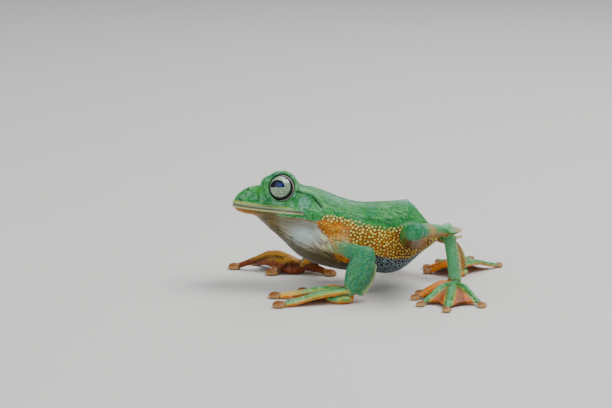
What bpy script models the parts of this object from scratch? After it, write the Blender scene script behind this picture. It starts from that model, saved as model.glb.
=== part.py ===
"""A green flying frog at life size, as a still museum model standing on a level surface.

The frog faces -X, its left side is towards -Y and +Z is up. Every size below is in millimetres in a
design frame whose floor is z = 0 and whose Y = 0 is the frog's midline. The last step moves the
finished frog so that the origin is the middle of its bounding box, at the floor.
"""

import math

import bmesh
import bpy
import numpy as np
from mathutils import Matrix, Vector

MM = 0.001
GAP = 0.3
LEFT = -1.0
RIGHT = 1.0

# Trunk, from under the chin to the vent: x, top, bottom, half width, squareness of the upper half
TRUNK_STATIONS = (
    (-24.0, 23.6, 22.0, 2.2, 2.0),
    (-18.9, 25.0, 17.3, 7.2, 2.0),
    (-15.1, 27.0, 14.0, 8.7, 2.0),
    (-12.4, 29.0, 11.1, 9.4, 2.0),
    (-8.6, 30.4, 8.4, 9.9, 2.1),
    (-3.6, 29.1, 6.7, 10.3, 2.2),
    (1.2, 27.2, 5.6, 10.6, 2.3),
    (6.5, 25.7, 5.1, 10.8, 2.4),
    (12.4, 25.6, 4.8, 10.7, 2.5),
    (16.0, 25.7, 4.5, 10.0, 2.5),
    (19.0, 26.1, 5.3, 9.0, 2.3),
    (21.6, 26.3, 7.0, 8.0, 2.1),
    (24.4, 23.4, 9.6, 6.8, 1.9),
    (26.6, 20.6, 11.6, 6.1, 1.9),
    (28.6, 18.4, 13.0, 5.0, 1.9),
    (30.0, 17.2, 14.2, 3.0, 2.0),
)
TRUNK_RINGS = 26
TRUNK_SIDES = 28
WIDEST_LEVEL = 0.44  # height of the widest line, as a share of the trunk's depth there
BELLY_SQUARENESS = 2.15

# Head, in side view: x, top line, mouth line, lower edge of the jaw
HEAD_STATIONS = (
    (-30.1, 25.9, 25.0, 24.3),
    (-29.5, 26.9, 24.9, 23.6),
    (-28.3, 28.3, 24.7, 23.0),
    (-26.6, 29.5, 24.5, 22.6),
    (-23.4, 30.4, 24.1, 22.2),
    (-19.0, 31.0, 23.7, 21.9),
    (-14.0, 31.2, 23.2, 21.5),
    (-9.0, 30.4, 22.6, 20.9),
    (-4.0, 28.2, 22.0, 20.2),
    (2.0, 25.0, 21.4, 19.4),
)
SNOUT_TIP_X = -30.2
JAW_ANGLE_X = -8.6
JAW_HALF_WIDTH = 10.3
NECK_END_X = 2.0
NECK_END_HALF_WIDTH = 7.0
SNOUT_ROUNDING = 0.57  # exponent of the head's outline seen from above
HEAD_RINGS = 20
HEAD_SIDES = 32
SNOUT_CLOSURE = 0.12  # distance of the first ring from the snout's tip
SNOUT_CROWDING = 1.5  # above 1, the rings lie closer together towards the snout
# How far the chin hangs below the jaw's edges, along x
CHIN_DEPTHS = ((-30.2, 0.05), (-24.0, 0.5), (-10.0, 1.2))
# Half width of the ridge over the eye and nostril, as a share of the jaw's, along x
RIDGE_REACHES = ((SNOUT_TIP_X, 0.55), (-20.0, 0.60), (-12.0, 0.80), (-5.0, 0.80))
CROWN_WIDTH = 0.55  # share of the ridge's half width
CROWN_DROP = 0.02  # share of the depth from top line to mouth, as the next ones
RIDGE_DROP = 0.17
CHEEK_LEVEL = 0.45
CHEEK_WIDTHS = (0.35, 0.60)  # fixed share of the jaw's half width, and share of the ridge's reach
LIP_LEVEL = 0.14
LIP_WIDTH = 0.975
JAW_SECTION = ((0.985, 0.45), (0.93, 1.0))  # half width and depth below the mouth, as shares
CHIN_WIDTH = 0.5
CHIN_SHARE = 0.7

MOUTH_CORNER_X = -9.3
MOUTH_GROOVE = 0.24
MOUTH_POINTS = 12  # on each side of the snout
MOUTH_CROWDING = 1.7
MOUTH_PROUD = 0.04
LIP_RADIUS = 0.58
LIP_CORNER_X = -10.2
TAPER_POINTS = 3
NOSTRIL = Vector((-25.9, 2.6, 29.3))
NOSTRIL_RADIUS = 0.42
EARDRUM = Vector((-8.3, 9.2, 26.0))
EARDRUM_FACING = Vector((0.05, 1.0, 0.28))
EARDRUM_RADIUS = 1.9
EARDRUM_GROOVE = 0.22
EARDRUM_POINTS = 16

EYE = Vector((-15.7, 7.3, 29.8))
EYE_RADIUS = 4.1
EYE_FORWARD_DEG = 9.0
EYE_UP_DEG = 8.0
BROW_RADII = (5.5, 4.7, 4.7)
BROW_SETBACK = 2.3
BROW_AHEAD = 0.5
LID_LEVEL = 1.25
LID_WALL = 0.52
LID_EDGE = 0.36
LID_POINTS = 24

# The near side of the head and chest stands higher than the other: x, degrees
ROLL_TABLE = ((-9.0, 9.0), (2.0, 6.0), (14.0, 3.0), (24.0, 2.0))
ROLL_LEVEL = 22.0

NECK_TOP = Vector((-3.4, 0.0, 30.5))
NECK_SLOPE_DEG = 24.0

# Fore limbs: joints of the left and of the right one
SHOULDER = Vector((-3.2, 8.2, 14.8))
ELBOWS = {LEFT: Vector((8.8, -19.5, 13.4)), RIGHT: Vector((1.6, 20.0, 9.0))}
WRISTS = {LEFT: Vector((4.2, -22.0, 3.8)), RIGHT: Vector((-9.6, 17.0, 2.8))}
UPPER_ARM_RADII = ((0.0, 1.8, 1.9), (0.35, 2.0, 2.0), (0.7, 2.5, 2.3), (1.0, 3.0, 2.5))
FOREARM_RADII = ((0.0, 3.0, 2.4), (0.35, 3.8, 2.7), (0.75, 3.2, 2.1), (1.0, 2.0, 1.5))
FOREARM_FACING = {LEFT: Vector((0.35, -1.0, 0.25)), RIGHT: Vector((0.2, 0.6, 0.9))}
FOREARM_EDGE = 3.1
FOREARM_FRINGE = 2.0
FOREARM_FRINGE_RUN = (0.08, 0.5, 1.0)  # shares of the way from elbow to wrist

# Fingers, inner to outer: middle of the disc from the wrist, height of the finger's arch
FINGERS = {
    LEFT: (
        ((-5.2, 12.6), 0.5),
        ((-13.6, 12.2), 0.9),
        ((-21.8, 6.6), 1.0),
        ((-20.6, -5.0), 0.8),
    ),
    RIGHT: (
        ((8.4, -2.6), 0.6),
        ((-9.4, -1.6), 3.0),
        ((-21.0, 6.6), 4.2),
        ((-14.4, 12.6), 1.8),
    ),
}
FINGER_RADII = ((1.4, 1.15), (1.35, 1.05), (1.15, 0.85))
FINGER_DISC = (2.1, 2.0, 1.05)
PALM_SIZE = (4.6, 3.5, 1.7)
PALM_AHEAD = 3.5
FINGER_WEB_REACH = 0.86
FINGER_WEB_NOTCH = 0.16

# Hind limbs: joints of the left and of the right one
HIP = Vector((23.0, 4.0, 15.8))
KNEES = {LEFT: Vector((22.4, -28.0, 22.4)), RIGHT: Vector((21.0, 26.6, 13.4))}
HEELS = {LEFT: Vector((33.0, -7.0, 18.5)), RIGHT: Vector((34.6, 7.8, 12.6))}
ANKLES = {LEFT: Vector((35.0, -10.0, 3.2)), RIGHT: Vector((38.0, 13.0, 3.2))}
THIGH_RADII = ((0.0, 4.0, 3.8), (0.4, 3.6, 3.2), (0.8, 2.8, 2.6), (1.0, 2.6, 2.5))
SHANK_RADII = ((0.0, 2.3, 2.2), (0.35, 2.6, 2.3), (0.75, 1.9, 1.8), (1.0, 1.8, 1.7))
TARSUS_RADII = ((0.0, 1.7, 1.6), (0.3, 1.4, 1.3), (0.8, 1.5, 1.3), (1.0, 1.7, 1.3))
TARSUS_EDGE = 1.5
TARSUS_FRINGE = 1.1
TARSUS_FRINGE_RUN = (0.2, 0.6, 1.0)  # shares of the way from heel to ankle
HEEL_FLAP_BASE = ((0.0, 0.0, 0.5), (0.0, 2.0, 0.2), (0.0, 4.0, -0.3))  # from the heel, y outwards
HEEL_FLAP_HEADING = Vector((1.0, 0.0, 0.1))
HEEL_FLAP_SINK = 0.9
HEEL_FLAP = 3.0

TOE_LENGTHS = (10.4, 14.0, 19.0, 23.0, 18.4)
TOE_DIRECTIONS = {LEFT: (8.0, 32.0, 56.0, 81.0, 112.0), RIGHT: (24.0, 48.0, 74.0, 102.0, 134.0)}
TOE_ARCH = 1.4
TOE_RADII = ((1.2, 0.95), (0.95, 0.75), (0.8, 0.6))
TOE_DISC = (1.55, 1.45, 0.85)
SOLE_SIZE = (3.8, 3.0, 1.5)
SOLE_AHEAD = 2.4
TOE_WEB_REACH = 0.9
TOE_WEB_NOTCH = 0.14

LIMB_SIDES = 14
LIMB_RINGS = 9
LIMB_END_ANGLES = (40, 75)  # degrees of the two rings that round off each end
DIGIT_SIDES = 6
DIGIT_RINGS = 7
DIGIT_STEPS = 17
KNUCKLE_SHARE = 0.42  # where the joints lie between base and disc
LAST_JOINT_SHARE = 0.78
KNUCKLE_DROP = 0.62  # height of the knuckle as a share of the base's, before the arch is added
LAST_JOINT_RISE = 0.35
LAST_JOINT_ARCH = 0.35
WEB_THICKNESS = 0.56
WEB_ACROSS = 4
WEB_ALONG = 4
WEB_LOWEST = 0.42
WEB_SAG = 0.5
DISC_HEIGHT = 0.7

COLOURS = {
    "skin_green": ((0.16, 0.42, 0.20, 1.0), 0.45),
    "skin_leg": ((0.12, 0.40, 0.24, 1.0), 0.45),
    "skin_web": ((0.72, 0.30, 0.05, 1.0), 0.40),
    "eye": ((0.55, 0.60, 0.50, 1.0), 0.08),
}


def clear_scene():
    for obj in list(bpy.data.objects):
        bpy.data.objects.remove(obj, do_unlink=True)


def collection_named(name):
    made = bpy.data.collections.new(name)
    bpy.context.scene.collection.children.link(made)
    return made


def material_named(name):
    colour, roughness = COLOURS[name]
    made = bpy.data.materials.get(name) or bpy.data.materials.new(name)
    made.use_nodes = True
    shader = made.node_tree.nodes["Principled BSDF"]
    shader.inputs["Base Color"].default_value = colour
    shader.inputs["Roughness"].default_value = roughness
    return made


def smooth_value(x, knots, values):
    """The smooth curve through (knots, values), read at x; it runs level beyond its ends."""
    knots = np.asarray(knots, float)
    values = np.asarray(values, float)
    slopes = np.gradient(values, knots)
    x = min(max(x, knots[0]), knots[-1])
    i = min(int(np.searchsorted(knots, x, side="right")) - 1, len(knots) - 2)
    span = knots[i + 1] - knots[i]
    t = (x - knots[i]) / span
    rise = 3 * t**2 - 2 * t**3
    leave = t**3 - 2 * t**2 + t
    arrive = t**3 - t**2
    return (
        values[i] * (1 - rise)
        + values[i + 1] * rise
        + slopes[i] * span * leave
        + slopes[i + 1] * span * arrive
    )


def table_at(x, table):
    """One row of a table of stations, read smoothly at x."""
    columns = list(zip(*table))
    return [smooth_value(x, columns[0], column) for column in columns[1:]]


def smooth_path(points, count):
    """Points spread evenly over a smooth curve through the given points."""
    points = [np.array(p, float) for p in points]
    knots = np.concatenate([[0], np.cumsum([np.linalg.norm(b - a) for a, b in zip(points, points[1:])])])
    along = np.linspace(0, knots[-1], count)
    columns = [[smooth_value(s, knots, [p[axis] for p in points]) for s in along] for axis in range(3)]
    return np.array(columns).T


def mesh_object(name, bm):
    """An object of the mesh, which was drawn in millimetres."""
    bmesh.ops.recalc_face_normals(bm, faces=bm.faces)
    bmesh.ops.scale(bm, vec=(MM, MM, MM), verts=bm.verts)
    mesh = bpy.data.meshes.new(name)
    bm.to_mesh(mesh)
    bm.free()
    made = bpy.data.objects.new(name, mesh)
    bpy.context.scene.collection.objects.link(made)
    return made


def loft(name, rings):
    """A closed skin over rings of points, each end closed by a fan."""
    bm = bmesh.new()
    rows = [[bm.verts.new(p) for p in ring] for ring in rings]
    sides = len(rows[0])
    for here, there in zip(rows, rows[1:]):
        for i in range(sides):
            j = (i + 1) % sides
            bm.faces.new((here[i], here[j], there[j], there[i]))
    for row, ring in ((rows[0], rings[0]), (rows[-1], rings[-1])):
        middle = bm.verts.new(np.mean(np.asarray(ring), axis=0))
        for i in range(sides):
            bm.faces.new((middle, row[i], row[(i + 1) % sides]))
    return mesh_object(name, bm)


def ellipsoid(name, centre, radii, turn=None, segments=16, rings=10):
    bm = bmesh.new()
    bmesh.ops.create_uvsphere(bm, u_segments=segments, v_segments=rings, radius=1.0)
    matrix = Matrix.Translation(centre) @ (turn or Matrix.Identity(4)) @ Matrix.Diagonal((*radii, 1.0))
    bmesh.ops.transform(bm, matrix=matrix, verts=bm.verts)
    return mesh_object(name, bm)


def round_tube(name, points, radius, closed=False, end_share=1.0):
    """A tube along points that narrows to a share of its radius at its ends."""
    curve = bpy.data.curves.new(name, "CURVE")
    curve.dimensions = "3D"
    curve.bevel_depth = radius * MM
    curve.bevel_resolution = 1
    curve.use_fill_caps = not closed
    spline = curve.splines.new("POLY")
    spline.points.add(len(points) - 1)
    spline.use_cyclic_u = closed
    for i, (spot, p) in enumerate(zip(spline.points, points)):
        spot.co = (*(Vector(p) * MM), 1.0)
        from_end = min(i, len(points) - 1 - i) / TAPER_POINTS
        spot.radius = end_share + (1 - end_share) * min(from_end, 1.0)
    holder = bpy.data.objects.new(name + "_line", curve)
    bpy.context.scene.collection.objects.link(holder)
    graph = bpy.context.evaluated_depsgraph_get()
    mesh = bpy.data.meshes.new_from_object(holder.evaluated_get(graph))
    bpy.data.objects.remove(holder, do_unlink=True)
    bm = bmesh.new()
    bm.from_mesh(mesh)
    bmesh.ops.remove_doubles(bm, verts=bm.verts, dist=1e-6)
    bmesh.ops.recalc_face_normals(bm, faces=bm.faces)
    bm.to_mesh(mesh)
    bm.free()
    made = bpy.data.objects.new(name, mesh)
    bpy.context.scene.collection.objects.link(made)
    return made


def boolean(target, others, operation, solver="EXACT"):
    """Joins or cuts target with closed meshes, then removes them."""
    tools = collection_named(target.name + "_tools")
    for other in others:
        for owner in list(other.users_collection):
            owner.objects.unlink(other)
        tools.objects.link(other)
    modifier = target.modifiers.new(operation.lower(), "BOOLEAN")
    modifier.operation = operation
    modifier.operand_type = "COLLECTION"
    modifier.solver = solver
    modifier.collection = tools
    graph = bpy.context.evaluated_depsgraph_get()
    mesh = bpy.data.meshes.new_from_object(target.evaluated_get(graph))
    target.modifiers.clear()
    target.data = mesh
    for other in list(tools.objects):
        bpy.data.objects.remove(other, do_unlink=True)
    bpy.data.collections.remove(tools)
    keep_largest(target)
    return target


def keep_largest(obj):
    """Leaves only the closed surface that holds the most faces' area."""
    bm = bmesh.new()
    bm.from_mesh(obj.data)
    bmesh.ops.remove_doubles(bm, verts=bm.verts, dist=2e-6)
    bmesh.ops.triangulate(bm, faces=bm.faces)
    left = set(bm.faces)
    pieces = []
    while left:
        queue = [left.pop()]
        piece = list(queue)
        while queue:
            for edge in queue.pop().edges:
                for face in edge.link_faces:
                    if face in left:
                        left.remove(face)
                        queue.append(face)
                        piece.append(face)
        pieces.append(piece)
    pieces.sort(key=lambda faces: -sum(face.calc_area() for face in faces))
    loose = [face for piece in pieces[1:] for face in piece]
    bmesh.ops.delete(bm, geom=loose, context="FACES")
    bm.to_mesh(obj.data)
    bm.free()


def swollen(obj, by=GAP):
    """A copy of the object, its surface moved outwards by the gap."""
    mesh = obj.data.copy()
    made = bpy.data.objects.new(obj.name + "_swollen", mesh)
    bpy.context.scene.collection.objects.link(made)
    bm = bmesh.new()
    bm.from_mesh(mesh)
    bm.normal_update()
    moves = [v.normal * v.calc_shell_factor() * by * MM for v in bm.verts]
    for v, move in zip(bm.verts, moves):
        v.co += move
    bm.to_mesh(mesh)
    bm.free()
    return made


def cut_clear(obj, *neighbours):
    """Cuts obj back from its neighbours by the gap. A swollen thin flap can cross itself."""
    return boolean(obj, [swollen(n) for n in neighbours], "DIFFERENCE", solver="MANIFOLD")


def half_space(name, point, normal, size=200.0):
    """A large box that covers everything on the side of a plane that the normal points to."""
    bm = bmesh.new()
    bmesh.ops.create_cube(bm, size=size)
    turn = Vector(normal).to_track_quat("Z", "Y").to_matrix().to_4x4()
    shift = Matrix.Translation(Vector(point) + Vector(normal).normalized() * size / 2)
    bmesh.ops.transform(bm, matrix=shift @ turn, verts=bm.verts)
    return mesh_object(name, bm)


def roll_at(x):
    return math.radians(smooth_value(x, *zip(*ROLL_TABLE)))


def rolled(point):
    """Where a point of the head or trunk comes to lie once the frog leans."""
    roll = roll_at(point[0])
    y, z = point[1], point[2] - ROLL_LEVEL
    return Vector(
        (
            point[0],
            y * math.cos(roll) + z * math.sin(roll),
            z * math.cos(roll) - y * math.sin(roll) + ROLL_LEVEL,
        )
    )


def roll_mesh(obj):
    for v in obj.data.vertices:
        v.co = rolled(v.co / MM) * MM


def trunk_ring(x):
    top, bottom, half_width, squareness = table_at(x, TRUNK_STATIONS)
    level = bottom + (top - bottom) * WIDEST_LEVEL
    ring = []
    for i in range(TRUNK_SIDES):
        turn = 2 * math.pi * i / TRUNK_SIDES
        side, up = math.cos(turn), math.sin(turn)
        power = 2 / (squareness if up > 0 else BELLY_SQUARENESS)
        reach = top - level if up > 0 else level - bottom
        ring.append(
            (
                x,
                half_width * math.copysign(abs(side) ** power, side),
                level + reach * math.copysign(abs(up) ** power, up),
            )
        )
    return ring


def trunk():
    first, last = TRUNK_STATIONS[0][0], TRUNK_STATIONS[-1][0]
    return loft("torso", [trunk_ring(x) for x in np.linspace(first, last, TRUNK_RINGS)])


def head_half_width(x):
    """Half width of the head at the lips, seen from above."""
    if x > JAW_ANGLE_X:
        share = (x - JAW_ANGLE_X) / (NECK_END_X - JAW_ANGLE_X)
        return JAW_HALF_WIDTH + (NECK_END_HALF_WIDTH - JAW_HALF_WIDTH) * share**1.5
    share = (JAW_ANGLE_X - x) / (JAW_ANGLE_X - SNOUT_TIP_X)
    return JAW_HALF_WIDTH * max(1 - share**2, 0.0) ** SNOUT_ROUNDING


def head_ring(x):
    top, mouth, jaw = table_at(x, HEAD_STATIONS)
    wide = head_half_width(x)
    chin = smooth_value(x, *zip(*CHIN_DEPTHS))
    reach = smooth_value(x, *zip(*RIDGE_REACHES))
    depth = top - mouth
    half = (
        (0.0, top),
        (reach * CROWN_WIDTH * wide, top - CROWN_DROP * depth),
        (reach * wide, top - RIDGE_DROP * depth),
        ((CHEEK_WIDTHS[0] + CHEEK_WIDTHS[1] * reach) * wide, mouth + CHEEK_LEVEL * depth),
        (LIP_WIDTH * wide, mouth + LIP_LEVEL * depth),
        (wide, mouth),
        *((share * wide, mouth - drop * (mouth - jaw)) for share, drop in JAW_SECTION),
        (CHIN_WIDTH * wide, jaw - CHIN_SHARE * chin),
        (0.0, jaw - chin),
    )
    around = list(half) + [(-y, z) for y, z in half[-2:0:-1]]
    knots = np.arange(len(around) + 7)
    wrapped = around[-3:] + around + around[:4]
    spread = 3 + np.arange(HEAD_SIDES) * len(around) / HEAD_SIDES
    return [
        (
            x,
            smooth_value(s, knots, [p[0] for p in wrapped]),
            smooth_value(s, knots, [p[1] for p in wrapped]),
        )
        for s in spread
    ]


def head_stations():
    """Stations of the head's rings, closer together at the rounded snout."""
    first, last = SNOUT_TIP_X + SNOUT_CLOSURE, HEAD_STATIONS[-1][0]
    return [first + (last - first) * (i / (HEAD_RINGS - 1)) ** SNOUT_CROWDING for i in range(HEAD_RINGS)]


def eye_axis(side):
    forward, up = math.radians(EYE_FORWARD_DEG), math.radians(EYE_UP_DEG)
    return Vector((-math.sin(forward) * math.cos(up), side * math.cos(forward) * math.cos(up), math.sin(up)))


def mirrored(point, side):
    return Vector((point[0], point[1] * side, point[2]))


def circle_around(centre, axis, radius, count):
    turn = Vector(axis).to_track_quat("Z", "Y")
    return [
        centre + turn @ Vector((radius * math.cos(a), radius * math.sin(a), 0.0))
        for a in np.linspace(0, 2 * math.pi, count, endpoint=False)
    ]


def brow(side):
    """The skin that bulges over one eye."""
    centre = mirrored(EYE, side) - eye_axis(side) * BROW_SETBACK - Vector((BROW_AHEAD, 0.0, 0.0))
    return ellipsoid("brow", centre, BROW_RADII, segments=20, rings=12)


def orbit(side):
    """The cup of skin that holds one eye and ends at the lids' margin."""
    centre = mirrored(EYE, side)
    made = ellipsoid("orbit", centre, (EYE_RADIUS + GAP + LID_WALL,) * 3, segments=20, rings=12)
    margin = centre + eye_axis(side) * LID_LEVEL
    return boolean(made, [half_space("beyond", margin, eye_axis(side))], "DIFFERENCE")


def lids(side):
    """The rounded margin of upper and lower lid round one eye."""
    reach = EYE_RADIUS + GAP + 0.5 * LID_WALL
    radius = math.sqrt(reach**2 - LID_LEVEL**2)
    centre = mirrored(EYE, side) + eye_axis(side) * LID_LEVEL
    margin = circle_around(centre, eye_axis(side), radius, LID_POINTS)
    return round_tube("lids", margin, LID_EDGE, closed=True)


def mouth_line(corner_x):
    """The route of the mouth, from one corner round the snout to the other."""
    rows = np.linspace(0, 1, MOUTH_POINTS) ** MOUTH_CROWDING
    side = []
    for share in rows:
        x = SNOUT_TIP_X + SNOUT_CLOSURE + (corner_x - SNOUT_TIP_X) * share
        mouth = table_at(x, HEAD_STATIONS)[1]
        side.append((x, head_half_width(x) + MOUTH_PROUD, mouth))
    other = [(x, -y, z) for x, y, z in side]
    return other[:0:-1] + side


def head_and_trunk():
    """Head and trunk as one body, with brows, lids, mouth, nostrils, eardrums and eye sockets."""
    body = trunk()
    shapes = [loft("skull", [head_ring(x) for x in head_stations()])]
    shapes.append(round_tube("lips", mouth_line(LIP_CORNER_X), LIP_RADIUS, end_share=0.25))
    cutters = [round_tube("mouth", mouth_line(MOUTH_CORNER_X), MOUTH_GROOVE)]
    for side in (LEFT, RIGHT):
        shapes += [brow(side), orbit(side), lids(side)]
        nostril = mirrored(NOSTRIL, side)
        cutters.append(ellipsoid("nostril", nostril, (NOSTRIL_RADIUS,) * 3, segments=10, rings=8))
        out = mirrored(EARDRUM_FACING, side)
        ring = circle_around(mirrored(EARDRUM, side), out, EARDRUM_RADIUS, EARDRUM_POINTS)
        cutters.append(round_tube("eardrum", ring, EARDRUM_GROOVE, closed=True))
        cutters.append(
            ellipsoid("socket", mirrored(EYE, side), (EYE_RADIUS + GAP,) * 3, segments=20, rings=12)
        )
    boolean(body, shapes, "UNION")
    boolean(body, cutters, "DIFFERENCE")
    roll_mesh(body)
    return body


def split_at_neck(body):
    """Parts the body by a thin cut from the nape down to the throat, and gives head and torso."""
    slope = math.radians(NECK_SLOPE_DEG)
    normal = Vector((math.cos(slope), 0.0, math.sin(slope) * -1.0))
    head = bpy.data.objects.new("head", body.data.copy())
    bpy.context.scene.collection.objects.link(head)
    boolean(head, [half_space("behind", NECK_TOP - normal * GAP / 2, normal)], "DIFFERENCE")
    boolean(body, [half_space("ahead", NECK_TOP + normal * GAP / 2, -normal)], "DIFFERENCE")
    return head, body


def limb_rings(points, radii, sides, flat_normal, rings):
    """Rings along a limb, with rounded ends. radii holds (share of the length, across, through)."""
    path = smooth_path(points, rings)
    shares = np.linspace(0, 1, len(path))
    across = [smooth_value(s, [r[0] for r in radii], [r[1] for r in radii]) for s in shares]
    through = [smooth_value(s, [r[0] for r in radii], [r[2] for r in radii]) for s in shares]
    tangents = np.gradient(path, axis=0)
    rows = [(path[i], tangents[i], across[i], through[i]) for i in range(len(path))]
    start, end = rows[0], rows[-1]
    for angle in LIMB_END_ANGLES:
        back, scale = math.sin(math.radians(angle)), math.cos(math.radians(angle))
        first = start[1] / np.linalg.norm(start[1])
        last = end[1] / np.linalg.norm(end[1])
        rows.insert(0, (start[0] - first * back * start[3], start[1], start[2] * scale, start[3] * scale))
        rows.append((end[0] + last * back * end[3], end[1], end[2] * scale, end[3] * scale))
    outlines = []
    for centre, tangent, wide, thick in rows:
        along = Vector(tangent).normalized()
        sideways = along.cross(Vector(flat_normal)).normalized()
        out = sideways.cross(along)
        ring = []
        for i in range(sides):
            turn = 2 * math.pi * i / sides
            ring.append(Vector(centre) + sideways * wide * math.cos(turn) + out * thick * math.sin(turn))
        outlines.append(ring)
    return outlines


def limb(name, points, radii, flat_normal, sides=LIMB_SIDES, rings=LIMB_RINGS):
    return loft(name, limb_rings(points, radii, sides, flat_normal, rings))


def thin_sheet(name, grid, thickness=WEB_THICKNESS):
    """A closed thin solid over a grid of points, split alike on both faces."""
    bm = bmesh.new()
    rows = [[bm.verts.new(p) for p in row] for row in grid]
    for here, there in zip(rows, rows[1:]):
        for i in range(len(here) - 1):
            bm.faces.new((here[i], here[i + 1], there[i + 1]))
            bm.faces.new((here[i], there[i + 1], there[i]))
    sheet = mesh_object(name, bm)
    solid = sheet.modifiers.new("thickness", "SOLIDIFY")
    solid.thickness = thickness * MM
    solid.offset = 0.0
    graph = bpy.context.evaluated_depsgraph_get()
    mesh = bpy.data.meshes.new_from_object(sheet.evaluated_get(graph))
    sheet.modifiers.clear()
    sheet.data = mesh
    return sheet


def fringe(name, points, outward, sink, width):
    """A thin flap of skin that stands along the outer edge of a limb."""
    path = smooth_path(points, 9)
    out = Vector(outward).normalized()
    grid = []
    for i, p in enumerate(path):
        share = i / (len(path) - 1)
        reach = sink + width * math.sin(math.pi * min(max(share, 0.04), 0.96)) ** 0.5
        grid.append([Vector(p) + out * reach * step for step in (0.0, 0.5, 1.0)])
    return thin_sheet(name, grid)


def digit_path(base, tip, arch):
    """The middle line of a finger or toe, which rises to its knuckle and comes down to its disc."""
    base, tip = Vector(base), Vector(tip)
    knuckle = base.lerp(tip, KNUCKLE_SHARE)
    last_joint = base.lerp(tip, LAST_JOINT_SHARE)
    knuckle.z = base.z * KNUCKLE_DROP + arch
    last_joint.z = DISC_HEIGHT + LAST_JOINT_RISE + arch * LAST_JOINT_ARCH
    return smooth_path((base, knuckle, last_joint, tip), DIGIT_STEPS)


def digit(path, radii, disc):
    """The pieces of one finger or toe: its tapered shaft and its disc."""
    shares = [(share, *pair) for share, pair in zip((0.0, 0.5, 1.0), radii)]
    shaft = limb("shaft", path, shares, (0, 0, 1), DIGIT_SIDES, DIGIT_RINGS)
    heading = Vector(path[-1]) - Vector(path[-4])
    turn = Matrix.Rotation(math.atan2(heading.y, heading.x), 4, "Z")
    pad = ellipsoid("disc", Vector(path[-1]), disc, turn, segments=10, rings=6)
    return [shaft, pad]


def web(first, second, reach, notch):
    """The membrane between two digits, its free edge drawn in between them."""
    grid = []
    steps = len(first) - 1
    for row in range(WEB_ALONG + 1):
        line = []
        for column in range(WEB_ACROSS + 1):
            across = column / WEB_ACROSS
            bow = 4 * across * (1 - across)
            along = row / WEB_ALONG * reach * (1 - notch * bow) * steps
            i = min(int(along), steps - 1)
            a = Vector(first[i]).lerp(Vector(first[i + 1]), along - i)
            b = Vector(second[i]).lerp(Vector(second[i + 1]), along - i)
            p = a.lerp(b, across)
            p.z = max(p.z - WEB_SAG * bow, WEB_LOWEST)
            line.append(p)
        grid.append(line)
    return thin_sheet("web", grid)


def extremity(name, joint, tips, radii, disc, pad_size, pad_ahead, web_reach, web_notch):
    """A hand or foot as one body: palm or sole, digits with their discs, and the webs between."""
    paths = [digit_path(joint, tip, arch) for tip, arch in tips]
    middle = sum((Vector(p[5]) for p in paths), Vector()) / len(paths)
    heading = middle - Vector(joint)
    centre = Vector(joint) + Vector((heading.x, heading.y, 0.0)).normalized() * pad_ahead
    centre.z = pad_size[2] * 0.85
    turn = Matrix.Rotation(math.atan2(heading.y, heading.x), 4, "Z")
    made = ellipsoid(name, centre, pad_size, turn, segments=12, rings=8)
    shapes = []
    for path in paths:
        shapes += digit(path, radii, disc)
    for first, second in zip(paths, paths[1:]):
        shapes.append(web(first, second, web_reach, web_notch))
    boolean(made, shapes, "UNION")
    boolean(made, [half_space("floor", (0, 0, 0), (0, 0, -1))], "DIFFERENCE")
    return made


def side_name(stem, side):
    return f"{stem}_{'left' if side == LEFT else 'right'}"


def arm(side, torso):
    shoulder, elbow, wrist = mirrored(SHOULDER, side), ELBOWS[side], WRISTS[side]
    facing = FOREARM_FACING[side]
    upper = limb(side_name("upper_arm", side), (shoulder, elbow), UPPER_ARM_RADII, facing)
    fore = limb(side_name("forearm", side), (elbow, wrist), FOREARM_RADII, facing)
    rear = (wrist - elbow).cross(facing).normalized() * side
    edge = [elbow.lerp(wrist, share) for share in FOREARM_FRINGE_RUN]
    boolean(fore, [fringe("fringe", edge, rear, FOREARM_EDGE, FOREARM_FRINGE)], "UNION")
    tips = [((wrist.x + dx, wrist.y + dy, DISC_HEIGHT), arch) for (dx, dy), arch in FINGERS[side]]
    hand = extremity(
        side_name("hand", side), wrist, tips, FINGER_RADII, FINGER_DISC, PALM_SIZE, PALM_AHEAD,
        FINGER_WEB_REACH, FINGER_WEB_NOTCH,
    )
    cut_clear(hand, fore)
    cut_clear(fore, upper)
    cut_clear(upper, torso)
    return [upper, fore, hand]


def leg(side, torso):
    hip, knee, heel, ankle = mirrored(HIP, side), KNEES[side], HEELS[side], ANKLES[side]
    upwards = Vector((0.0, 0.0, 1.0))
    thigh = limb(side_name("thigh", side), (hip, knee), THIGH_RADII, upwards)
    shank = limb(side_name("shank", side), (knee, heel), SHANK_RADII, upwards)
    outwards = Vector((0.0, side, 0.0))
    tarsus = limb(side_name("tarsus", side), (heel, ankle), TARSUS_RADII, outwards)
    rear = (ankle - heel).normalized().cross(outwards).normalized() * side
    edge = [heel.lerp(ankle, share) for share in TARSUS_FRINGE_RUN]
    flap = [heel + mirrored(p, side) for p in HEEL_FLAP_BASE]
    boolean(tarsus, [fringe("fringe", edge, rear, TARSUS_EDGE, TARSUS_FRINGE)], "UNION")
    boolean(shank, [fringe("flap", flap, HEEL_FLAP_HEADING, HEEL_FLAP_SINK, HEEL_FLAP)], "UNION")
    tips = []
    for length, degrees in zip(TOE_LENGTHS, TOE_DIRECTIONS[side]):
        turn = math.radians(degrees)
        tip = (ankle.x - length * math.cos(turn), ankle.y + side * length * math.sin(turn), DISC_HEIGHT)
        tips.append((tip, TOE_ARCH))
    foot = extremity(
        side_name("foot", side), ankle, tips, TOE_RADII, TOE_DISC, SOLE_SIZE, SOLE_AHEAD,
        TOE_WEB_REACH, TOE_WEB_NOTCH,
    )
    cut_clear(foot, tarsus)
    cut_clear(tarsus, shank)
    cut_clear(shank, thigh, torso)
    cut_clear(thigh, torso)
    return [thigh, shank, tarsus, foot]


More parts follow.
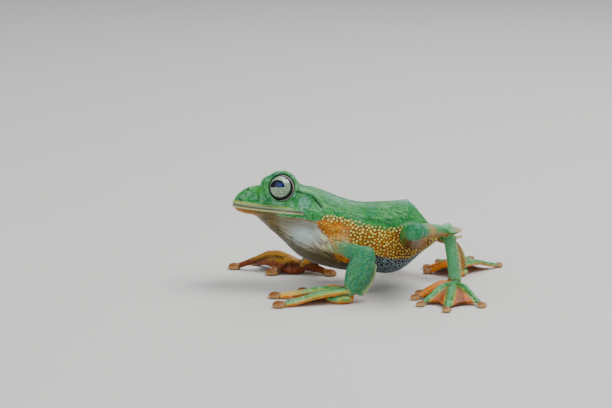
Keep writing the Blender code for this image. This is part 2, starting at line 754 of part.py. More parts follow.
def eye(side):
    made = ellipsoid(side_name("eye", side), mirrored(EYE, side), (EYE_RADIUS,) * 3, segments=20, rings=12)
    roll_mesh(made)
    return made


def finish_node(obj, material, owner):
    for holder in list(obj.users_collection):
        holder.objects.unlink(obj)
    owner.objects.link(obj)
    obj.data.materials.clear()
    obj.data.materials.append(material_named(material))
    obj.data.shade_smooth()
    obj.data.set_sharp_from_angle(angle=math.radians(50))


def centre_on_floor(nodes):
    """Moves the meshes so that the origin is the middle of their box, at the floor."""
    points = np.array([v.co for obj in nodes for v in obj.data.vertices])
    low, high = points.min(0), points.max(0)
    shift = Matrix.Translation((-(low[0] + high[0]) / 2, -(low[1] + high[1]) / 2, -low[2]))
    for obj in nodes:
        obj.data.transform(shift)


def main():
    clear_scene()
    frog = collection_named("flying_frog")
    head, torso = split_at_neck(head_and_trunk())
    nodes = {head: "skin_green", torso: "skin_green"}
    for side in (LEFT, RIGHT):
        nodes[eye(side)] = "eye"
        upper, fore, hand = arm(side, torso)
        thigh, shank, tarsus, foot = leg(side, torso)
        nodes.update({upper: "skin_leg", fore: "skin_leg", hand: "skin_web"})
        nodes.update({thigh: "skin_leg", shank: "skin_leg", tarsus: "skin_leg", foot: "skin_web"})
    for obj, material in nodes.items():
        finish_node(obj, material, frog)
    centre_on_floor(list(nodes))


main()
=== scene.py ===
import math
import random

import bmesh
import bpy
import numpy as np
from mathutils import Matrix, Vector
from mathutils.bvhtree import BVHTree
from mathutils.kdtree import KDTree


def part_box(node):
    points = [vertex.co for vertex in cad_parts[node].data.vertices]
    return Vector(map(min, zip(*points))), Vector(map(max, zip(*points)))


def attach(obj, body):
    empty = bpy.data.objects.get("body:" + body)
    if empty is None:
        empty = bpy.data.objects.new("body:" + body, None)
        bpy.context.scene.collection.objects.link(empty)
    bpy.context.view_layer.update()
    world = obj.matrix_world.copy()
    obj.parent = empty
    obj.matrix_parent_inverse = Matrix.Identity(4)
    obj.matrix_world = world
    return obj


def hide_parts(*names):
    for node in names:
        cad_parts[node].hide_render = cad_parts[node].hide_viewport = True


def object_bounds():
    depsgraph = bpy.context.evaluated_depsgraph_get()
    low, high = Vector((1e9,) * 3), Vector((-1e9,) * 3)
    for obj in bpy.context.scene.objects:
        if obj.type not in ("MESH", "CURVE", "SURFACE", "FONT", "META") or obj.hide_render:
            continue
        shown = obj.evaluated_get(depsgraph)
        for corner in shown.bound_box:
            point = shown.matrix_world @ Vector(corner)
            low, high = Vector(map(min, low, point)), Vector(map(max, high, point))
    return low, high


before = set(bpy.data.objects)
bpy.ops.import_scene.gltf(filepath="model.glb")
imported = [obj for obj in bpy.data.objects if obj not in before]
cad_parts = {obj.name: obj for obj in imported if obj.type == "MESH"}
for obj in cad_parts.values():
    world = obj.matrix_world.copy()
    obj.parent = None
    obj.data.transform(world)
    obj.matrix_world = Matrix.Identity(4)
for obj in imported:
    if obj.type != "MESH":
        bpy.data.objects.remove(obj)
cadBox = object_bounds()
print("frame loaded")

# All measures are millimetres in the frog's own frame: x runs back from the forearms, y to its right, z up.
eyeOfFrame = {"left": (-15.7, -5.99, 30.85), "right": (-15.7, 8.43, 28.56)}
# the frame counts metres from a point below the frog's middle, and home is that point in the frog's measures
lowCorner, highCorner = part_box("eye_left")
home = np.array(eyeOfFrame["left"]) - 500.0 * (np.array(lowCorner) + np.array(highCorner))
boxLow = np.array(cadBox[0]) * 1000 + home
boxHigh = np.array(cadBox[1]) * 1000 + home

# The head and chest lean over, near side up: x against degrees about the level leanLevel
leanAngles = ((-9.0, 9.0), (-4.0, 7.9), (2.0, 6.0), (8.0, 4.3), (14.0, 3.0), (24.0, 2.0))
leanLevel = 22.0

joints = {
    "left": {
        "shoulder": (-3.2, -8.2, 14.8), "elbow": (8.8, -19.5, 13.4), "wrist": (4.2, -22.0, 3.8),
        "hip": (23.0, -4.0, 15.8), "knee": (22.4, -28.0, 22.4), "heel": (33.0, -7.0, 18.5),
        "ankle": (35.0, -10.0, 3.2),
    },
    "right": {
        "shoulder": (-3.2, 8.2, 14.8), "elbow": (1.6, 20.0, 9.0), "wrist": (-9.6, 17.0, 2.8),
        "hip": (23.0, 4.0, 15.8), "knee": (21.0, 26.6, 13.4), "heel": (34.6, 7.8, 12.6),
        "ankle": (38.0, 13.0, 3.2),
    },
}
fingerReach = {
    "left": ((-5.2, 12.6), (-13.6, 12.2), (-21.8, 6.6), (-20.6, -5.0)),
    "right": ((8.4, -2.6), (-9.4, -1.6), (-21.0, 6.6), (-14.4, 12.6)),
}
toeLengths = (10.4, 14.0, 19.0, 23.0, 18.4)
toeAngles = {"left": (8.0, 32.0, 56.0, 81.0, 112.0), "right": (24.0, 48.0, 74.0, 102.0, 134.0)}
sideSign = {"left": -1.0, "right": 1.0}
discLevel = 0.7


def digitTips(side):
    # middles of the finger and toe discs of one side
    jointPlaces = joints[side]
    wrist, ankle = jointPlaces["wrist"], jointPlaces["ankle"]
    fingers = [(wrist[0] + dx, wrist[1] + dy, discLevel) for dx, dy in fingerReach[side]]
    toes = []
    for length, degrees in zip(toeLengths, toeAngles[side]):
        turn = math.radians(degrees)
        toes.append((ankle[0] - length * math.cos(turn),
                     ankle[1] + sideSign[side] * length * math.sin(turn), discLevel))
    return fingers, toes


# small tools for shaping a surface held in numpy arrays


def soft(value, low, high):
    # 0 at low, 1 at high, smooth between
    t = np.clip((value - low) / (high - low), 0.0, 1.0)
    return t * t * (3 - 2 * t)


def bell(value, width):
    return np.exp(-(value / width) ** 2)


def line(x, table):
    return np.interp(x, [row[0] for row in table], [row[1] for row in table])


def cellNumbers(cells, seed):
    # a steady number from 0 to 1 for each whole-number cell
    h = cells[..., 0] * 73856093 ^ cells[..., 1] * 19349663 ^ cells[..., 2] * 83492791 ^ (seed * 7919 + 17)
    h = (h ^ (h >> 13)) * 1274126177 & 0xFFFFFFFF
    h = (h ^ (h >> 16)) * 668265263 & 0xFFFFFFFF
    return ((h ^ (h >> 15)) & 0xFFFF) / 65535.0


def cloudNoise(points, size, seed, stretch=(1.0, 1.0, 1.0)):
    # smooth noise from -1 to 1, its lumps about the given size
    place = points / (size * np.array(stretch))
    cell = np.floor(place).astype(np.int64)
    t = place - cell
    t = t * t * (3 - 2 * t)
    total = np.zeros(len(points))
    for corner in np.ndindex(2, 2, 2):
        share = np.prod([t[:, k] if corner[k] else 1 - t[:, k] for k in range(3)], axis=0)
        total += share * cellNumbers(cell + np.array(corner), seed)
    return 2 * total - 1


def pebbleNoise(points, size, seed):
    # distance to the nearest of scattered points, as a share of the cell size
    place = points / size
    cell = np.floor(place).astype(np.int64)
    nearest = np.full(len(points), 9.0)
    for corner in np.ndindex(3, 3, 3):
        there = cell + np.array(corner) - 1
        seat = np.stack([cellNumbers(there, seed + k) for k in range(3)], axis=1)
        gap = there + 0.15 + 0.7 * seat - place
        nearest = np.minimum(nearest, (gap ** 2).sum(1))
    return np.sqrt(nearest)


def domes(points, size, seed):
    return 1 - soft(pebbleNoise(points, size, seed), 0.1, 0.62)


def onlyWhere(share, noise, points, *settings):
    # reads a noise only at the points where its share counts
    result = np.zeros(len(points))
    here = share > 0.01
    result[here] = noise(points[here], *settings)
    return result * share


def leaned(points, back=False):
    # turns points of the upright body into the lean, or back
    angle = np.radians(line(points[:, 0], leanAngles)) * (-1 if back else 1)
    y, z = points[:, 1], points[:, 2] - leanLevel
    return np.stack((points[:, 0], y * np.cos(angle) + z * np.sin(angle),
                     z * np.cos(angle) - y * np.sin(angle) + leanLevel), axis=1)


def toSegment(points, start, end):
    # distance to a straight line and the share along it
    start, end = np.array(start, float), np.array(end, float)
    run = end - start
    share = np.clip((points - start) @ run / (run @ run), 0.0, 1.0)
    return np.linalg.norm(points - start - share[:, None] * run, axis=1), share


def toPath(points, path):
    nearest, along, walked = np.full(len(points), 1e3), np.zeros(len(points)), 0.0
    for start, end in zip(path, path[1:]):
        length = float(np.linalg.norm(np.array(end) - np.array(start)))
        distance, share = toSegment(points, start, end)
        closer = distance < nearest
        nearest[closer] = distance[closer]
        along[closer] = (walked + share * length)[closer]
        walked += length
    return nearest, along


def quadMesh(name, points, faces):
    mesh = bpy.data.meshes.new(name)
    mesh.vertices.add(len(points))
    mesh.vertices.foreach_set("co", points.astype(np.float32).ravel())
    mesh.loops.add(faces.size)
    mesh.loops.foreach_set("vertex_index", faces.astype(np.int32).ravel())
    mesh.polygons.add(len(faces))
    mesh.polygons.foreach_set("loop_start", np.arange(0, faces.size, 4, dtype=np.int32))
    mesh.polygons.foreach_set("use_smooth", np.ones(len(faces), bool))
    mesh.update(calc_edges=True)
    return mesh


class Surface:
    # the skin while it is being shaped: points, faces, and who neighbours whom

    def __init__(self, mesh):
        count = len(mesh.vertices)
        points = np.zeros(count * 3, np.float32)
        mesh.vertices.foreach_get("co", points)
        self.points = points.reshape(-1, 3).astype(np.float64)
        corners = np.zeros(len(mesh.loops), np.int32)
        mesh.loops.foreach_get("vertex_index", corners)
        self.faces = corners.reshape(-1, 4)
        edges = np.zeros(len(mesh.edges) * 2, np.int32)
        mesh.edges.foreach_get("vertices", edges)
        self.edges = edges.reshape(-1, 2)
        self.holder = None
        self.setNeighbours()

    def setNeighbours(self):
        count = len(self.points)
        a = np.concatenate((self.edges[:, 0], self.edges[:, 1]))
        b = np.concatenate((self.edges[:, 1], self.edges[:, 0]))
        order = np.argsort(a, kind="stable")
        a, b = a[order], b[order]
        degree = np.bincount(a, minlength=count)
        first = np.concatenate(([0], np.cumsum(degree)[:-1]))
        rank = np.arange(len(a)) - first[a]
        most = int(degree.max())
        self.around = np.repeat(np.arange(count)[:, None], most, axis=1)
        self.around[a, rank] = b
        self.degree = degree
        self.spare = most - degree

    def mean(self, values):
        # the mean of each point's neighbours
        total = values[self.around[:, 0]].copy()
        for column in range(1, self.around.shape[1]):
            total += values[self.around[:, column]]
        if values.ndim == 2:
            return (total - values * self.spare[:, None]) / self.degree[:, None]
        return (total - values * self.spare) / self.degree

    def smoothed(self, steps):
        # the points after a run of Smooth modifiers, each given as (factor, rounds)
        if self.holder is None:
            mesh = quadMesh("shaping", self.points, self.faces)
            self.holder = bpy.data.objects.new("shaping", mesh)
            bpy.context.scene.collection.objects.link(self.holder)
        self.holder.data.vertices.foreach_set("co", self.points.astype(np.float32).ravel())
        self.holder.data.update()
        for factor, rounds in steps:
            smooth = self.holder.modifiers.new("smooth", "SMOOTH")
            smooth.factor = factor
            smooth.iterations = rounds
        graph = bpy.context.evaluated_depsgraph_get()
        result = np.zeros(len(self.points) * 3, np.float32)
        self.holder.evaluated_get(graph).data.vertices.foreach_get("co", result)
        self.holder.modifiers.clear()
        return result.reshape(-1, 3).astype(np.float64)

    def relax(self, rounds, share=1.0):
        # evens out the facets and keeps the volume
        amount = share if np.isscalar(share) else share[:, None]
        smooth = self.smoothed([(0.5, 1), (-0.53, 1)] * rounds)
        self.points = self.points + amount * (smooth - self.points)

    def faceNormals(self):
        p, f = self.points, self.faces
        return np.cross(p[f[:, 2]] - p[f[:, 0]], p[f[:, 3]] - p[f[:, 1]])

    def normals(self):
        p, n = self.points, self.faceNormals()
        total = np.zeros_like(p)
        for corner in range(4):
            for k in range(3):
                total[:, k] += np.bincount(self.faces[:, corner], n[:, k], len(p))
        return total / np.maximum(np.linalg.norm(total, axis=1), 1e-12)[:, None]

    def push(self, height):
        self.points += self.normals() * height[:, None]

    def fillHollows(self, rounds, share):
        # rounds off inner corners only, as flesh does where a limb meets the body
        smooth = self.smoothed([(0.5, rounds)])
        normals = self.normals()
        rise = ((smooth - self.points) * normals).sum(1)
        self.points = self.points + normals * (np.maximum(rise, 0.0) * share)[:, None]

    def mend(self, share, rounds, foldedBelow=0.35, strength=0.6):
        # eases the few places where the skin has folded over itself
        for _ in range(3):
            p = self.points
            facing = self.faceNormals()
            facing /= np.maximum(np.linalg.norm(facing, axis=1), 1e-12)[:, None]
            calm = self.spread(self.normals(), 4)
            folded = (facing * calm[self.faces].mean(1)).sum(1) < foldedBelow
            spot = np.zeros(len(p))
            spot[self.faces[folded]] = 1.0
            spot = np.clip(self.spread(spot, 5) * 4, 0, 1) * share
            here = np.nonzero(spot > 0.01)[0]
            for _ in range(rounds):
                total = self.points[self.around[here]].sum(1) - self.points[here] * self.spare[here][:, None]
                aim = total / self.degree[here][:, None]
                self.points[here] += strength * spot[here][:, None] * (aim - self.points[here])

    def spread(self, values, rounds):
        for _ in range(rounds):
            values = 0.5 * values + 0.5 * self.mean(values)
        return values


# one skin over all the flesh

skinPlan = {
    "voxel": 0.2,
    "swell": 0.23,  # closes the joints between the solids
    "globe": 4.1,
    "lidThick": 0.26,  # half the lids' thickness
    "lidRoot": 86.0,  # degrees from the eye's axis to the outer edge of the lids
    "lidMargin": (69.5, -12.0, 6.5, 1.5),  # degrees: mean, front, top, and front with rear
    "lidFuller": 0.15, "lidThinner": 0.25,  # how much thicker the lids are above, and thinner behind
    "eyeUp": 2.0,
    "lidArc": 4.4,  # radius on which widths on the lids are measured
    "eyeArea": 9.0,  # how far from an eye's middle its lids are sought
    "around": 64, "across": 14,
    "nearSolid": 1.6,  # how far from a solid the skin still belongs to it
}


def joinRings(shape, rings):
    # faces between each ring of points and the next
    for here, there in zip(rings, rings[1:]):
        for j in range(len(here)):
            k = (j + 1) % len(here)
            shape.faces.new((here[j], there[j], there[k], here[k]))


def closeShape(shape, name):
    bmesh.ops.recalc_face_normals(shape, faces=shape.faces)
    mesh = bpy.data.meshes.new(name)
    shape.to_mesh(mesh)
    shape.free()
    return mesh


def eyeFrame(side):
    # the eye's axis and its forward and upward directions, leaned with the head
    up = math.radians(skinPlan["eyeUp"] + line(np.array([-16.0]), leanAngles)[0] * -sideSign[side])
    axis = Vector((0.0, sideSign[side] * math.cos(up), math.sin(up)))
    upward = (Vector((0, 0, 1)) - axis * axis.z).normalized()
    forward = upward.cross(axis) * sideSign[side]
    return axis, forward, upward


def lidEdge(turn):
    # the angle from the axis at which the lids end: front at 0, top at a quarter turn
    mean, front, top, ends = skinPlan["lidMargin"]
    return mean + front * np.cos(turn) + top * np.sin(turn) + ends * np.cos(2 * turn)


def lidBand(side):
    # both eyelids as one band that lies on the globe, widest in front
    axis, forward, upward = eyeFrame(side)
    middle = Vector(eyeOfFrame[side])
    swell = skinPlan["swell"]
    band = bmesh.new()
    rings = []
    for i in range(skinPlan["around"]):
        turn = 2 * math.pi * i / skinPlan["around"]
        out = forward * math.cos(turn) + upward * math.sin(turn)
        edge = float(lidEdge(turn))
        fuller = skinPlan["lidFuller"] * max(math.sin(turn), 0.0)
        thinner = skinPlan["lidThinner"] * max(-math.cos(turn), 0.0)
        thick = skinPlan["lidThick"] * (1.0 + fuller - thinner)
        reach = skinPlan["globe"] + 0.05 + thick
        half = max(math.radians(skinPlan["lidRoot"] - edge) / 2 * reach, 0.3)
        ring = []
        for j in range(skinPlan["across"]):
            bend = 2 * math.pi * j / skinPlan["across"]
            angle = math.radians(edge) + (half + (half + swell) * math.cos(bend)) / reach
            distance = reach + (thick + swell) * math.sin(bend)
            ring.append(band.verts.new(middle + (axis * math.cos(angle) + out * math.sin(angle)) * distance))
        rings.append(ring)
    joinRings(band, rings + rings[:1])
    return closeShape(band, "lidBand")


shoulderPlan = {
    "left": ((-7.4, -7.9, 16.2), (1.5, -12.5, 14.4)), "right": ((-7.2, 8.4, 13.6), (-1.6, 12.4, 13.0)),
    "thin": 0.4, "thick": 1.9, "along": 24, "around": 20,
}


def shoulder(side):
    # the muscle that runs from the chest into the upper arm, tapered towards the chest
    start, end = (Vector(p) for p in shoulderPlan[side])
    run = (end - start).normalized()
    across = run.cross(Vector((0, 0, 1))).normalized()
    over = across.cross(run)
    muscle = bmesh.new()
    rings = []
    for i in range(shoulderPlan["along"] + 1):
        share = i / shoulderPlan["along"]
        thick = shoulderPlan["thin"] + (shoulderPlan["thick"] - shoulderPlan["thin"]) * share
        thick *= max(math.sin(math.pi * min(max(share, 0.02), 0.98)), 0.05) ** 0.35
        ring = []
        for j in range(shoulderPlan["around"]):
            turn = 2 * math.pi * j / shoulderPlan["around"]
            out = across * math.cos(turn) + over * math.sin(turn)
            ring.append(muscle.verts.new(start.lerp(end, share) + out * thick))
        rings.append(ring)
    joinRings(muscle, rings)
    muscle.faces.new(rings[0])
    muscle.faces.new(rings[-1])
    return closeShape(muscle, "shoulder")


def gatherFlesh():
    whole = bmesh.new()
    for name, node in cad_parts.items():
        if name.startswith("eye"):
            continue
        flesh = bmesh.new()
        flesh.from_mesh(node.data)
        bmesh.ops.remove_doubles(flesh, verts=flesh.verts, dist=1e-7)
        flesh.normal_update()
        moves = [v.normal * min(v.calc_shell_factor(), 2.0) * skinPlan["swell"] for v in flesh.verts]
        for v, move in zip(flesh.verts, moves):
            v.co = v.co * 1000 + Vector(home) + move
        mesh = bpy.data.meshes.new("flesh")
        flesh.to_mesh(mesh)
        flesh.free()
        whole.from_mesh(mesh)
    for side in sideSign:
        whole.from_mesh(lidBand(side))
        whole.from_mesh(shoulder(side))
    mesh = bpy.data.meshes.new("gathered")
    whole.to_mesh(mesh)
    whole.free()
    return mesh


def dropCrumbs(surface):
    # closed scraps a few points across, which the remesh leaves between two solids
    label = np.arange(len(surface.points))
    for _ in range(16):
        for column in range(surface.around.shape[1]):
            label = np.minimum(label, label[surface.around[:, column]])
    open_ = np.zeros(len(label), bool)
    for column in range(surface.around.shape[1]):
        open_[label[label != label[surface.around[:, column]]]] = True
    keep = open_[label]
    place = np.cumsum(keep) - 1
    surface.points = surface.points[keep]
    surface.faces = place[surface.faces[keep[surface.faces].all(1)]]
    surface.edges = place[surface.edges[keep[surface.edges].all(1)]]
    surface.setNeighbours()
    print("crumbs dropped:", int((~keep).sum()), "points")


def remeshedSkin():
    holder = bpy.data.objects.new("gathered", gatherFlesh())
    bpy.context.scene.collection.objects.link(holder)
    remesh = holder.modifiers.new("remesh", "REMESH")
    remesh.mode = "VOXEL"
    remesh.voxel_size = skinPlan["voxel"]
    graph = bpy.context.evaluated_depsgraph_get()
    mesh = bpy.data.meshes.new_from_object(holder.evaluated_get(graph))
    bpy.data.objects.remove(holder)
    surface = Surface(mesh)
    dropCrumbs(surface)
    return surface


def nodeReach(points, names, most):
    # distance of every point to the nearest of the named solids, up to most
    reach = np.full(len(points), most)
    for name in names:
        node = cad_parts[name]
        places = [v.co * 1000 + Vector(home) for v in node.data.vertices]
        tree = BVHTree.FromPolygons(places, [tuple(p.vertices) for p in node.data.polygons])
        low = np.min(places, axis=0) - most
        high = np.max(places, axis=0) + most
        inside = np.nonzero(((points > low) & (points < high)).all(1))[0]
        for i in inside:
            hit = tree.find_nearest(points[i], most)
            if hit[3] is not None and hit[3] < reach[i]:
                reach[i] = hit[3]
    return reach


easePlan = {  # rounds of smoothing
    "facets": 12, "broad": 55, "hollows": 140, "roundEyes": 800, "shoulders": 600, "last": 10,
    "mend": 25, "mendLast": 12,
}
surface = remeshedSkin()
print("skin remeshed:", len(surface.points), "points")

groups = {"body": ["head", "torso"]}
for side in sideSign:
    groups["arm_" + side] = ["upper_arm_" + side, "forearm_" + side]
    for name in ("hand", "thigh", "shank", "tarsus", "foot"):
        groups[name + "_" + side] = [name + "_" + side]
reach = {name: nodeReach(surface.points, nodes, skinPlan["nearSolid"]) for name, nodes in groups.items()}
part = {name: surface.spread(soft(far, 0.95, 0.35), 4) for name, far in reach.items()}
print("skin regions found")


def skinOf(*names):
    # how much of every point belongs to the named regions of both sides
    return np.max([part[k] for k in part if k.startswith(names)], axis=0)


def gapTo(*places):
    # distance of every point to the nearest of the places
    return np.min([np.linalg.norm(surface.points - np.array(place), axis=1) for place in places], axis=0)


def standUpright():
    # the points with the lean taken out, and the same folded over to one side
    upright = leaned(surface.points, back=True)
    return upright, np.stack((upright[:, 0], np.abs(upright[:, 1]), upright[:, 2]), axis=1)


digitSkin = skinOf("hand", "foot")
eyeSpread = gapTo(*eyeOfFrame.values())
lidZone = 1 - soft(eyeSpread, 5.0, 5.6)
unclaimed = 1 - np.max(list(part.values()), axis=0)
part["body"] = np.clip(np.maximum(part["body"] + unclaimed, 1 - soft(eyeSpread, 5.6, 6.4)), 0, 1)
surface.relax(easePlan["facets"])
firm = (1 - 0.9 * soft(digitSkin, 0.2, 0.8)) * (1 - 0.85 * lidZone)
surface.relax(easePlan["broad"], share=firm)
surface.push(np.full(len(surface.points), -skinPlan["swell"]))
print("skin smoothed")

mouthTable = ((-30.1, 25.0), (-29.5, 24.9), (-28.3, 24.7), (-26.6, 24.5), (-23.4, 24.1), (-19.0, 23.7),
              (-14.0, 23.2), (-9.0, 22.6), (-4.0, 22.0), (2.0, 21.4))
upright = standUpright()[0]
lipGap = upright[:, 2] - line(upright[:, 0], mouthTable)
mouthZone = bell(lipGap, 1.3) * soft(upright[:, 0], -7.0, -9.0)
openSkin = (1 - soft(digitSkin, 0.1, 0.6)) * soft(eyeSpread, 5.0, 5.6) * (1 - mouthZone)
surface.fillHollows(easePlan["hollows"], openSkin)
upperLipFree = soft(np.abs(lipGap), 0.9, 1.8)
roundEye = soft(eyeSpread, 4.8, 5.3) * (1 - soft(eyeSpread, 8.5, 12.0)) * upperLipFree
roundEye *= 0.6 + 0.4 * soft(upright[:, 2], 31.5, 29.0)
surface.fillHollows(easePlan["roundEyes"], roundEye)
shoulderZone = np.zeros(len(surface.points))
for side in sideSign:
    gap = toSegment(surface.points, *shoulderPlan[side])[0]
    shoulderZone = np.maximum(shoulderZone, 1 - soft(gap, 2.5, 6.0))
surface.fillHollows(easePlan["shoulders"], shoulderZone)
surface.relax(easePlan["last"], share=openSkin)
surface.mend(part["body"], easePlan["mend"])
print("hollows filled")


# folds, lips, nostrils, eardrums and granules are raised or sunk along the surface

headPlan = {
    "mouthDepth": 0.42, "mouthWidth": 0.24, "mouthCorner": -9.3,
    "upperLip": 0.08, "lowerLip": 0.13,
    "nostril": (-25.9, 2.6, 29.3), "nostrilDepth": 0.6, "nostrilWidth": 0.42,
    "eardrum": (-8.9, 25.7), "eardrumRadius": 1.95,
    "brow": (-20.9, 5.8, 31.5), "browRise": 1.05, "vent": (31.6, 0.0, 16.6),
    "lipGroove": 0.07, "nostrilRim": 0.13, "eardrumSink": 0.1, "eardrumRing": 0.05, "eardrumEdge": 0.04,
    "creaseSink": 0.24, "ridgeRise": 0.34, "cheekSink": 0.35, "lidFold": 0.07, "lidFoldUpper": 0.05,
    "lidRimRise": 0.05, "throatRise": 0.09,
    "foldCrease": ((-11.1, 28.8), (-8.9, 28.3), (-6.7, 27.7), (-5.4, 26.0), (-4.1, 24.5)),
    "foldRidge": ((-11.0, 29.6), (-8.7, 29.1), (-6.1, 28.5), (-4.6, 26.5), (-3.1, 24.7)),
}
mirrored = standUpright()[1]
normal = surface.normals()
bodyShare = part["body"]
x, a, z = mirrored.T  # a is the distance out from the middle plane
lateral = soft(np.abs(normal[:, 1]), 0.25, 0.55) * bodyShare
sidePlane = np.stack((x, np.zeros_like(x), z), axis=1)


def sideStroke(path):
    return toPath(sidePlane, [(px, 0.0, pz) for px, pz in path])[0]


lipGap = z - line(x, mouthTable)
mouthRun = soft(x, headPlan["mouthCorner"] + 1.2, headPlan["mouthCorner"] - 1.6) * bodyShare
lipRun = soft(x, headPlan["mouthCorner"], headPlan["mouthCorner"] - 6.0)
height = -headPlan["mouthDepth"] * bell(lipGap, headPlan["mouthWidth"]) * mouthRun
height += headPlan["upperLip"] * bell(lipGap - 0.7, 0.3) * mouthRun * lipRun
height += headPlan["lowerLip"] * bell(lipGap + 0.45 + 0.15 * lipRun, 0.24 + 0.1 * lipRun) * mouthRun
height -= headPlan["lipGroove"] * bell(lipGap + 1.35, 0.3) * mouthRun

nostrilGap = np.linalg.norm(mirrored - np.array(headPlan["nostril"]), axis=1)
height -= headPlan["nostrilDepth"] * bell(nostrilGap, headPlan["nostrilWidth"]) * bodyShare
height += headPlan["nostrilRim"] * bell(nostrilGap - 0.85, 0.34) * bodyShare

drumX, drumZ = headPlan["eardrum"]
drumGap = np.hypot(x - drumX, z - drumZ)
height -= headPlan["eardrumRing"] * bell(drumGap - headPlan["eardrumRadius"], 0.34) * lateral
height -= headPlan["eardrumSink"] * soft(drumGap, headPlan["eardrumRadius"], 0.2) * lateral
height += headPlan["eardrumEdge"] * bell(drumGap - headPlan["eardrumRadius"] - 0.6, 0.4) * lateral

height -= headPlan["creaseSink"] * bell(sideStroke(headPlan["foldCrease"]), 0.33) * lateral
height += headPlan["ridgeRise"] * bell(sideStroke(headPlan["foldRidge"]), 0.7) * lateral
height -= headPlan["cheekSink"] * bell(x + 20.6, 3.0) * bell(z - 26.9, 1.5) * lateral
browGap = np.linalg.norm(mirrored - np.array(headPlan["brow"]), axis=1)
height += headPlan["browRise"] * bell(browGap, 2.2) * bodyShare


def aroundEyes(points):
    # for every point: distance past the lids' margin, the turn about the eye, distance from its middle
    margin, turn, far = np.full(len(points), 20.0), np.zeros(len(points)), np.full(len(points), 99.0)
    for side in sideSign:
        axis, forward, upward = (np.array(v) for v in eyeFrame(side))
        offset = points - np.array(eyeOfFrame[side])
        distance = np.linalg.norm(offset, axis=1)
        level = offset @ axis
        angle = np.arctan2(np.linalg.norm(offset - level[:, None] * axis, axis=1), level)
        spin = np.arctan2(offset @ upward, offset @ forward)
        near = distance < np.minimum(far, skinPlan["eyeArea"])
        margin[near] = (np.radians(np.degrees(angle) - lidEdge(spin)) * skinPlan["lidArc"])[near]
        turn[near], far[near] = spin[near], distance[near]
    return margin, turn, far


lidMargin, lidTurn, eyeFar = aroundEyes(surface.points)
lidSkin = soft(eyeFar, 6.2, 5.4) * bodyShare
overEye = soft(np.sin(lidTurn), 0.0, 0.7)
height -= headPlan["lidFold"] * bell(lidMargin - 0.75, 0.14) * lidSkin * overEye
height -= headPlan["lidFoldUpper"] * bell(lidMargin - 1.35, 0.16) * lidSkin * overEye
height += headPlan["lidRimRise"] * bell(lidMargin - 0.2, 0.16) * lidSkin

throat = soft(x, -9.0, -15.0) * soft(lipGap, -1.0, -1.8) * bodyShare
height += headPlan["throatRise"] * onlyWhere(throat, cloudNoise, mirrored, 0.8, 3, (4.0, 1.0, 1.0))

# where the green of the back ends, and where the flank's orange ends below
greenEdge = ((-12.0, 21.2), (-9.5, 20.9), (-7.4, 20.1), (-5.4, 20.2), (-2.4, 21.5), (2.2, 21.1), (7.2, 19.9),
             (11.0, 18.9), (16.0, 18.5), (19.5, 18.9), (24.0, 16.5), (30.0, 14.6))
flankEdge = ((-6.6, 20.0), (-5.9, 19.3), (-4.5, 17.9), (-2.4, 16.3), (-1.0, 12.6), (0.2, 9.6), (3.2, 8.2),
             (8.0, 9.8), (12.0, 11.2), (16.0, 10.3), (20.5, 9.7), (24.0, 10.6), (30.0, 13.4))
wobble = 0.45 * cloudNoise(mirrored, 1.3, 11) + 0.3 * cloudNoise(mirrored, 0.5, 12)
aboveEdge = z - line(x, greenEdge) + wobble
belowEdge = line(x, flankEdge) - z + wobble
jawGreen = np.where(x < headPlan["mouthCorner"], lipGap - 0.3, aboveEdge)
backGreen = soft(jawGreen, -0.25, 0.35)
jawStrip = soft(lipGap + 0.25 * wobble, -1.95, -1.45) * soft(lipGap, -0.3, -0.7)
jawStrip *= soft(x, -18.5, -14.5) * soft(x, -8.0, -9.5)
backGreen = np.maximum(backGreen, jawStrip)
streaks = 1.5 * cloudNoise(mirrored, 0.55, 13, (6.0, 1.0, 1.0))
flank = (1 - backGreen) * soft(belowEdge + 0.3 * streaks * soft(x, 3.0, -3.0), 0.4, -0.4)
flank *= soft(x + 0.4 * wobble + streaks, -6.6, -5.0)
belly = soft(belowEdge, -0.3, 0.5) * soft(x + wobble, 1.0, 5.0)

foldPlan = {
    "pebbles": 0.085, "grain": 0.03, "sideFolds": 0.07, "armFolds": 0.1, "limbPebbles": 0.075,
    "limbRings": 0.04, "heelBump": 0.45, "ventRim": 0.22, "ventSink": 0.5, "armWrinkles": 0.09,
}
pebbled = backGreen * bodyShare * (0.4 + 0.6 * soft(x, -14.0, -4.0))
height += foldPlan["pebbles"] * onlyWhere(pebbled, domes, mirrored, 0.85, 21)
height += foldPlan["grain"] * onlyWhere(bodyShare, cloudNoise, mirrored, 0.5, 22)
sideFolds = bell(z - line(x, greenEdge) - 2.0, 2.2) * soft(x, -5.0, 0.0) * bodyShare
height += foldPlan["sideFolds"] * onlyWhere(sideFolds, cloudNoise, mirrored, 0.7, 23, (4.5, 1.0, 1.0))
armFolds = bell(np.hypot(x + 3.2, z - 14.5), 4.2)
foldPlace = np.stack((x - 0.75 * z, a, z + 0.75 * x), axis=1)
foldRise = onlyWhere(armFolds * bodyShare, cloudNoise, foldPlace, 0.62, 24, (5.0, 1.0, 1.0))
height += foldPlan["armFolds"] * foldRise

